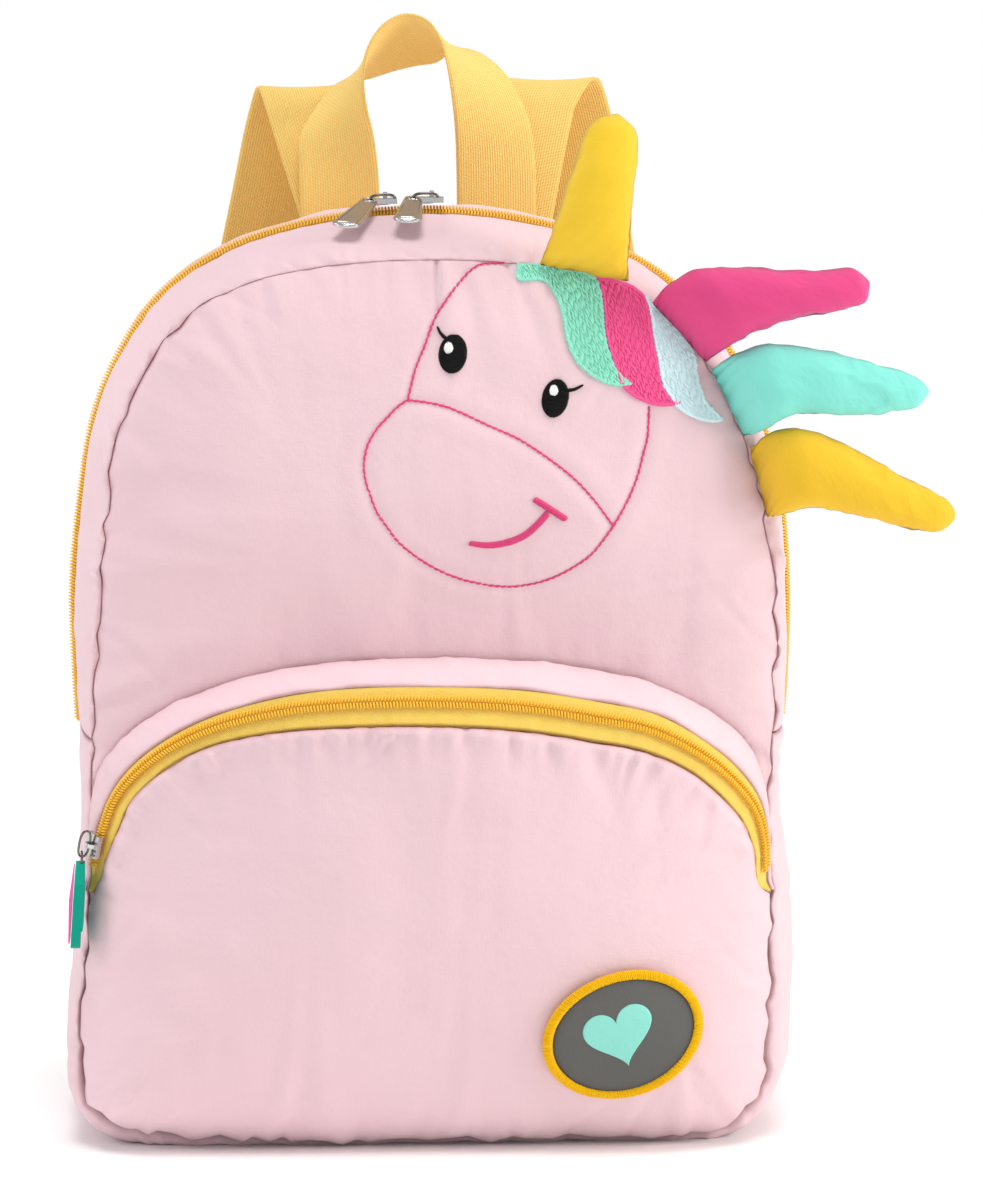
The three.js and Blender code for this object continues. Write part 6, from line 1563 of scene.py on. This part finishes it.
def build_patch():
    rings = np.concatenate([[0.02], np.linspace(0.08, 1.0, 22)])
    w = np.linspace(0, 2 * math.pi, 120, endpoint=False)
    R, W = np.meshgrid(rings, w, indexing="ij")
    base = 2.6
    relief = 0.12 * noise2(R * np.cos(W) * 25, R * np.sin(W) * 20, 16, 77)
    top, _ = patch_spot(R, W, base + relief)
    low, _ = patch_spot(R, W, base - 1.1 + 0 * R)
    n, m = R.shape
    P = np.concatenate([top.reshape(-1, 3), low.reshape(-1, 3), top[0].mean(0)[None], low[0].mean(0)[None]])
    N = n * m
    F = grid_faces(n, m, ring_m=True)
    j = np.arange(m)
    l = (j + 1) % m
    e = (n - 1) * m
    T = np.concatenate([np.stack([j, l, np.full(m, 2 * N)], 1), np.stack([l + N, j + N, np.full(m, 2 * N + 1)], 1)])
    rim = np.stack([e + l, e + j, e + j + N, e + l + N], 1)[:, ::-1][:, ::-1]
    uv = np.stack([(R * np.cos(W) * 25.6).ravel(), (R * np.sin(W) * 20.4).ravel()], 1)
    uv = np.concatenate([uv, uv, [[0, 0], [0, 0]]])
    # painted shade on the field next to the raised border
    field = make("patch_field_cloth", P, [F, F[:, ::-1] + N, T, rim], MAT["field"], uv=uv,
                 attrs={"painted_shade": np.concatenate([(0.7 * np.exp(-(1 - R) * 22 / 0.8)).ravel(), np.zeros(N + 2)])}, replaces=["patch"])
    # border: a sewn rim of close strands wrapped over the edge
    grow = 1 + (PATCH["border"] / 2 + 0.1) / 23
    count = 520
    w = np.linspace(0, 2 * math.pi, count, endpoint=False)
    c, nrm = patch_spot(np.full(count, grow), w, np.full(count, base - 0.3))
    t = unit(np.roll(c, -1, 0) - np.roll(c, 1, 0))
    out = unit(np.cross(t, nrm))
    around = 14
    v = 2 * math.pi * np.arange(around) / around
    core = c[:, None] + out[:, None] * (1.45 * np.cos(v))[None, :, None] + nrm[:, None] * (1.0 * np.sin(v))[None, :, None]
    P = core.reshape(-1, 3)
    make("patch_border_core", P, grid_faces(count, around, ring_n=True, ring_m=True), MAT["border"], replaces=["patch_border"])
    # strands
    k = 250
    w = np.linspace(0, 2 * math.pi, k, endpoint=False) + np.random.default_rng(4).uniform(-0.003, 0.003, k)
    c, nrm = patch_spot(np.full(k, grow), w, np.full(k, base - 0.3))
    t = unit(np.roll(c, -1, 0) - np.roll(c, 1, 0))
    out = unit(np.cross(t, nrm))
    arc = np.linspace(-0.25, math.pi + 0.25, 9)
    rnd = np.random.default_rng(9)
    rad = rnd.uniform(0.98, 1.06, k)[:, None, None]
    line = c[:, None] + out[:, None] * (1.55 * np.cos(arc))[None, :, None] * rad + nrm[:, None] * (1.12 * np.sin(arc))[None, :, None] * rad + t[:, None] * (0.45 * np.cos(arc))[None, :, None]
    tt = unit(np.gradient(line, axis=1))
    s1 = unit(np.cross(tt, np.broadcast_to(t[:, None], tt.shape)))
    s2 = unit(np.cross(tt, s1))
    q = 2 * math.pi * np.arange(6) / 6
    ring = line[:, :, None] + 0.30 * (np.cos(q)[:, None] * s1[:, :, None] + np.sin(q)[:, None] * s2[:, :, None])
    m = 9 * 6
    base_f = grid_faces(9, 6, ring_m=True)
    F = (base_f[None] + (np.arange(k) * m)[:, None, None]).reshape(-1, 4)
    cap = np.stack([np.arange(6)[::-1], 8 * 6 + np.arange(6)])
    C = (cap[None] + (np.arange(k) * m)[:, None, None]).reshape(-1, 6)
    make("patch_border_strands", ring.reshape(-1, 3), [F, C[:, ::-1]], MAT["border"])
    # plain heart in the middle
    u = np.linspace(0, 2 * math.pi, 160, endpoint=False)
    hx = 16 * np.sin(u) ** 3
    hz = 13 * np.cos(u) - 5 * np.cos(2 * u) - 2 * np.cos(3 * u) - np.cos(4 * u)
    sc = np.linspace(0.04, 1, 16)
    A, B = np.outer(sc, hx * 0.78), np.outer(sc, (hz + 2.5) * 0.76)
    A, B = A - 1.0, B - 0.4
    top, _ = patch_xz(A, B, base + 0.12 * noise2(A, B, 16, 77) + 0.22)
    low, _ = patch_xz(A, B, base - 0.15 + 0 * A)
    n, m = A.shape
    N = n * m
    P = np.concatenate([top.reshape(-1, 3), low.reshape(-1, 3), top[0].mean(0)[None], low[0].mean(0)[None]])
    F = grid_faces(n, m, ring_m=True)
    j = np.arange(m)
    l = (j + 1) % m
    e = (n - 1) * m
    T = np.concatenate([np.stack([j, l, np.full(m, 2 * N)], 1), np.stack([l + N, j + N, np.full(m, 2 * N + 1)], 1)])
    rim = np.stack([e + l, e + j, e + j + N, e + l + N], 1)
    uv = np.stack([A.ravel(), B.ravel()], 1)
    make("patch_heart", P, [F, F[:, ::-1] + N, T, rim], MAT["motif"], uv=np.concatenate([uv, uv, [[0, 0], [0, 0]]]),
         attrs={"painted_shade": np.zeros(len(P))})


# ---------------------------------------------------------------- zip hardware
def frame_axes(along, out):
    x = unit(np.asarray(along, float))
    z = unit(out - x * (out @ x))
    return np.stack([x, np.cross(z, x), z])


def lean_to(out, side, degrees):
    a = math.radians(degrees)
    return out * math.cos(a) + np.asarray(side, float) * math.sin(a)


def wire_ring(name, node, origin, axes, half_long, half_high, wire, mat="wire", bend=0.8, count=96):
    w = 2 * math.pi * (np.arange(count) + 0.5) / count
    sp = lambda v: np.sign(v) * np.abs(v) ** bend
    c = np.stack([half_long * sp(np.cos(w)), 0 * w, half_high * sp(np.sin(w))], 1)
    t = unit(np.roll(c, -1, 0) - np.roll(c, 1, 0))
    out = np.cross(t, [0, 1.0, 0])
    v = 2 * math.pi * np.arange(12) / 12
    ring = c[:, None] + wire / 2 * (np.cos(v)[None, :, None] * out[:, None] + np.sin(v)[None, :, None] * np.array([0, 1.0, 0]))
    P = ring.reshape(-1, 3) @ axes + origin
    make(name, P, grid_faces(count, 12, ring_n=True, ring_m=True), MAT[mat], replaces=[node] if node else ())


def prism(outline, z0, z1, bevel=0.15, crown=0.0):
    """Bevelled plate from an outline (n, 2): rings from the bottom face over the bevels to the top face, star-closed."""
    Q = np.asarray(outline, float)
    t = unit(np.roll(Q, -1, 0) - np.roll(Q, 1, 0))
    area = 0.5 * (Q[:, 0] * np.roll(Q[:, 1], -1) - np.roll(Q[:, 0], -1) * Q[:, 1]).sum()
    n_in = np.stack([-t[:, 1], t[:, 0]], 1) * (1 if area > 0 else -1)
    rows = []
    for ins, z in ((bevel * 2.2, z0), (bevel, z0), (bevel * 0.3, z0 + bevel * 0.3), (0, z0 + bevel), (0, z1 - bevel), (bevel * 0.3, z1 - bevel * 0.3), (bevel, z1), (bevel * 2.2, z1 + crown)):
        rows.append(np.concatenate([Q + n_in * ins, np.full((len(Q), 1), z)], 1))
    return np.stack(rows)


def tab_outline(length, narrow, wide, inset=0.0, n=26):
    a, b = narrow / 2 - inset, wide / 2 - inset
    tip = length
    pts = [(-2.3 + inset, -1.5 + inset * 0.5), (-0.6, -a)]
    mid = tip - wide / 2 * 0.8
    ang = np.linspace(-math.pi / 2, math.pi / 2, n)
    pts += [(mid + (wide / 2 * 0.8 - inset) * math.cos(t), b * math.sin(t)) for t in ang]
    pts += [(-0.6, a), (-2.3 + inset, 1.5 - inset * 0.5)]
    P = np.array(pts)
    s = arc_of(np.concatenate([P, P[:1]]))
    at = np.linspace(0, s[-1], 90, endpoint=False)
    C = np.concatenate([P, P[:1]])
    return np.stack([np.interp(at, s, C[:, 0]), np.interp(at, s, C[:, 1])], 1)


def torus(center, a, b, r, n=48, k=10, squash=1.0):
    """Elliptic torus in the local X-Y plane."""
    w = 2 * math.pi * np.arange(n) / n
    c = np.stack([a * np.cos(w), b * np.sin(w), 0 * w], 1)
    t = unit(np.roll(c, -1, 0) - np.roll(c, 1, 0))
    out = np.cross(t, [0, 0, 1.0])
    v = 2 * math.pi * np.arange(k) / k
    ring = c[:, None] + r * (np.cos(v)[None, :, None] * out[:, None] + squash * np.sin(v)[None, :, None] * np.array([0, 0, 1.0])) + np.asarray(center, float)
    return ring.reshape(-1, 3), grid_faces(n, k, ring_n=True, ring_m=True)


def tune_metal_node(name, width=0.14):
    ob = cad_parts.get(name)
    if not ob:
        return
    weld = ob.modifiers.new("weld", "WELD")
    weld.merge_threshold = 2e-6
    bev = ob.modifiers.new("bevel", "BEVEL")
    bev.width, bev.segments, bev.limit_method, bev.angle_limit = width * MM, 2, "ANGLE", math.radians(28)
    bev.harden_normals = False


def build_hardware():
    for key, sx, tip in (("a", -14.6, (-31.4, -32, 333.3)), ("b", 1.2, (-8.6, -31, 335.0))):
        ok = FZ > 200
        i = np.where(ok)[0][np.abs(FX[ok] + NX[ok] * FW[ok] - sx).argmin()]
        S = Stations([float(i)])
        crown = band_points(S, [ZIP_AT])[0, 0]
        nx, nz = S.nx[0], S.nz[0]
        along, out = np.array([nz, 0, -nx]), np.array([nx, 0, nz])
        lean = lean_to(out, (0, -1, 0), 28)
        middle = crown + out * 3.1 + lean * 1.9 - along * 1.6
        wire_ring("main_ring_%s_wire" % key, "main_ring_" + key, middle, frame_axes(along, lean), 4.5, 1.9, 1.05)
        wire = middle - along * 4.5
        d = unit(np.array(tip) - wire)
        hole = wire + d * 0.75 - lean * 0.35
        length = np.linalg.norm(np.array(tip) - hole)
        axes = frame_axes(d, lean_to(out, (0, -1, 0), 20))
        # plate with a raised rim, a sunk panel, an eye at the ring and a thick pierced end
        rings = prism(tab_outline(length, 6.4, 10.4), -0.45, 0.3)
        P, F = loft(rings)
        parts, faces, base = [P], [list(F)], len(P)
        tris = [F[1]]
        quads = [F[0]]

        def add(p, fs):
            nonlocal base
            parts.append(p)
            for f in fs:
                (quads if f.shape[1] == 4 else tris).append(f + base)
            base += len(p)

        outline = tab_outline(length, 6.4, 10.4, inset=0.55)
        rim = np.concatenate([outline, np.full((len(outline), 1), 0.35)], 1)
        t = unit(np.roll(rim, -1, 0) - np.roll(rim, 1, 0))
        side = np.cross(t, [0, 0, 1.0])
        v = 2 * math.pi * np.arange(8) / 8
        tube_p = (rim[:, None] + 0.5 * np.cos(v)[None, :, None] * side[:, None] + 0.42 * np.sin(v)[None, :, None] * np.array([0, 0, 1.0])).reshape(-1, 3)
        add(tube_p, [grid_faces(len(rim), 8, ring_n=True, ring_m=True)])
        p, f = torus((length - 2.5, 0, 0.45), 1.25, 3.6, 0.95, squash=0.75)
        add(p, [f])
        p, f = torus((0.15, 0, 0.25), 1.55, 1.55, 0.5)
        add(p, [f])
        P = np.concatenate(parts) @ axes + hole
        make("main_tab_%s_metal" % key, P, [np.concatenate(quads), np.concatenate(tris)], MAT["metal"], replaces=["main_tab_" + key], close=False)
        # sunk brushed panel between the eye and the thick end
        pan = np.array([(2.6, -2.6), (length - 4.3, -3.7), (length - 4.3, 3.7), (2.6, 2.6)])
        s = arc_of(np.concatenate([pan, pan[:1]]))
        at = np.linspace(0, s[-1], 60, endpoint=False)
        C = np.concatenate([pan, pan[:1]])
        Q = np.stack([np.interp(at, s, C[:, 0]), np.interp(at, s, C[:, 1])], 1)
        P, F = loft(prism(Q, 0.1, 0.45, bevel=0.12))
        make("main_tab_%s_inlay" % key, P @ axes + hole, F, MAT["inlay"])
        # dark dimple in the pierced end: darker metal that stands in for the shade in the hollow of its slot
        w = np.linspace(0, 2 * math.pi, 40, endpoint=False)
        Q = np.stack([length - 2.5 + 0.75 * np.cos(w), 2.9 * np.sin(w)], 1)
        P, F = loft(prism(Q, 0.1, 0.42, bevel=0.05))
        make("main_tab_%s_dimple" % key, P @ axes + hole, F, MAT["wire"])
    for n in ("main_slider_a", "main_slider_b", "pocket_slider"):
        tune_metal_node(n, 0.22)
    for n in ("pocket_puller", "pocket_puller_layer"):
        tune_metal_node(n, 0.3)
    for n in ("pocket_ring", "pocket_eye"):
        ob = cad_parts.get(n)
        if ob:
            ob.modifiers.new("weld", "WELD").merge_threshold = 2e-6
            sub = ob.modifiers.new("round", "SUBSURF")
            sub.levels = sub.render_levels = 2


# ---------------------------------------------------------------- the frame's own pieces that stay
SLOT_MATS = {"bright_metal": "metal", "dark_wire": "wire", "teal_rubber": "teal", "pink_rubber": "rubber_pink",
             "patch_field": "field", "patch_border": "border"}


def finish_frame_nodes():
    for name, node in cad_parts.items():
        for slot in node.material_slots:
            key = next((v for k, v in SLOT_MATS.items() if slot.material and k in slot.material.name), None)
            if key:
                slot.material = MAT[key]




# ---------------------------------------------------------------- camera, light and floor
def build_stage():
    az, el, dist, mmpx = math.radians(-3), math.radians(8), 2000.0, 0.36
    aim = np.array([21.06, -45.0, 203.0])
    back = np.array([math.cos(el) * math.sin(az), -math.cos(el) * math.cos(az), math.sin(el)])
    right = np.array([math.cos(az), math.sin(az), 0.0])
    up = np.cross(back, right)
    cam = bpy.data.cameras.new("camera")
    cam.sensor_fit, cam.sensor_width = "HORIZONTAL", 36.0
    cam.lens = 36.0 * dist / mmpx / 983
    cam.clip_start, cam.clip_end = 0.05, 100
    ob = bpy.data.objects.new("camera", cam)
    m = Matrix.Identity(4)
    for k, v in enumerate((right, up, back, (aim + dist * back) * MM)):
        for r in range(3):
            m[r][k] = v[r]
    ob.matrix_world = m
    collection().objects.link(ob)
    bpy.context.scene.camera = ob

    me = bpy.data.meshes.new("floor")
    me.from_pydata([(-20, -6, 0), (20, -6, 0), (20, 40, 0), (-20, 40, 0)], [], [(0, 1, 2, 3)])
    floor = bpy.data.objects.new("floor", me)
    collection().objects.link(floor)
    fm = Mat("floor", "#ffffff", rough=0.9, spec=0.0)
    me.materials.append(fm.m)

    bpy.context.scene.view_settings.view_transform = "Standard"
    world = bpy.data.worlds.new("studio")
    world.use_nodes = True
    bg = world.node_tree.nodes["Background"]
    bg.inputs[0].default_value = (1, 1, 1, 1)
    bg.inputs[1].default_value = 0.45
    bpy.context.scene.world = world

    def area(name, place, target, size, power, colour=(1, 1, 1)):
        light = bpy.data.lights.new(name, "AREA")
        light.shape, light.size, light.size_y = "RECTANGLE", size[0], size[1]
        light.energy, light.color = power, colour
        o = bpy.data.objects.new(name, light)
        o.location = place
        o.rotation_euler = (Vector(target) - Vector(place)).to_track_quat("-Z", "Y").to_euler()
        collection().objects.link(o)

    area("right", (1.5, -0.50, 0.70), (0, 0, 0.18), (0.6, 0.9), 14.5, (1.0, 0.96, 0.91))
    area("left", (-1.6, -0.25, 0.8), (0, 0, 0.2), (0.6, 0.9), 7, (0.96, 0.97, 1.0))
    sun = bpy.data.lights.new("overhead", "SUN")
    sun.energy, sun.angle = 1.75, math.radians(30)
    o = bpy.data.objects.new("overhead", sun)
    o.rotation_euler = Vector((0.0, 0.16, -1.0)).to_track_quat("-Z", "Y").to_euler()
    collection().objects.link(o)


prepare_surface()
build_panels()
build_bands()
build_main_coil()
build_pocket()
build_stuffed()
build_webbing()
finish_frame_nodes()
build_face()
build_patch()
build_hardware()
build_stage()
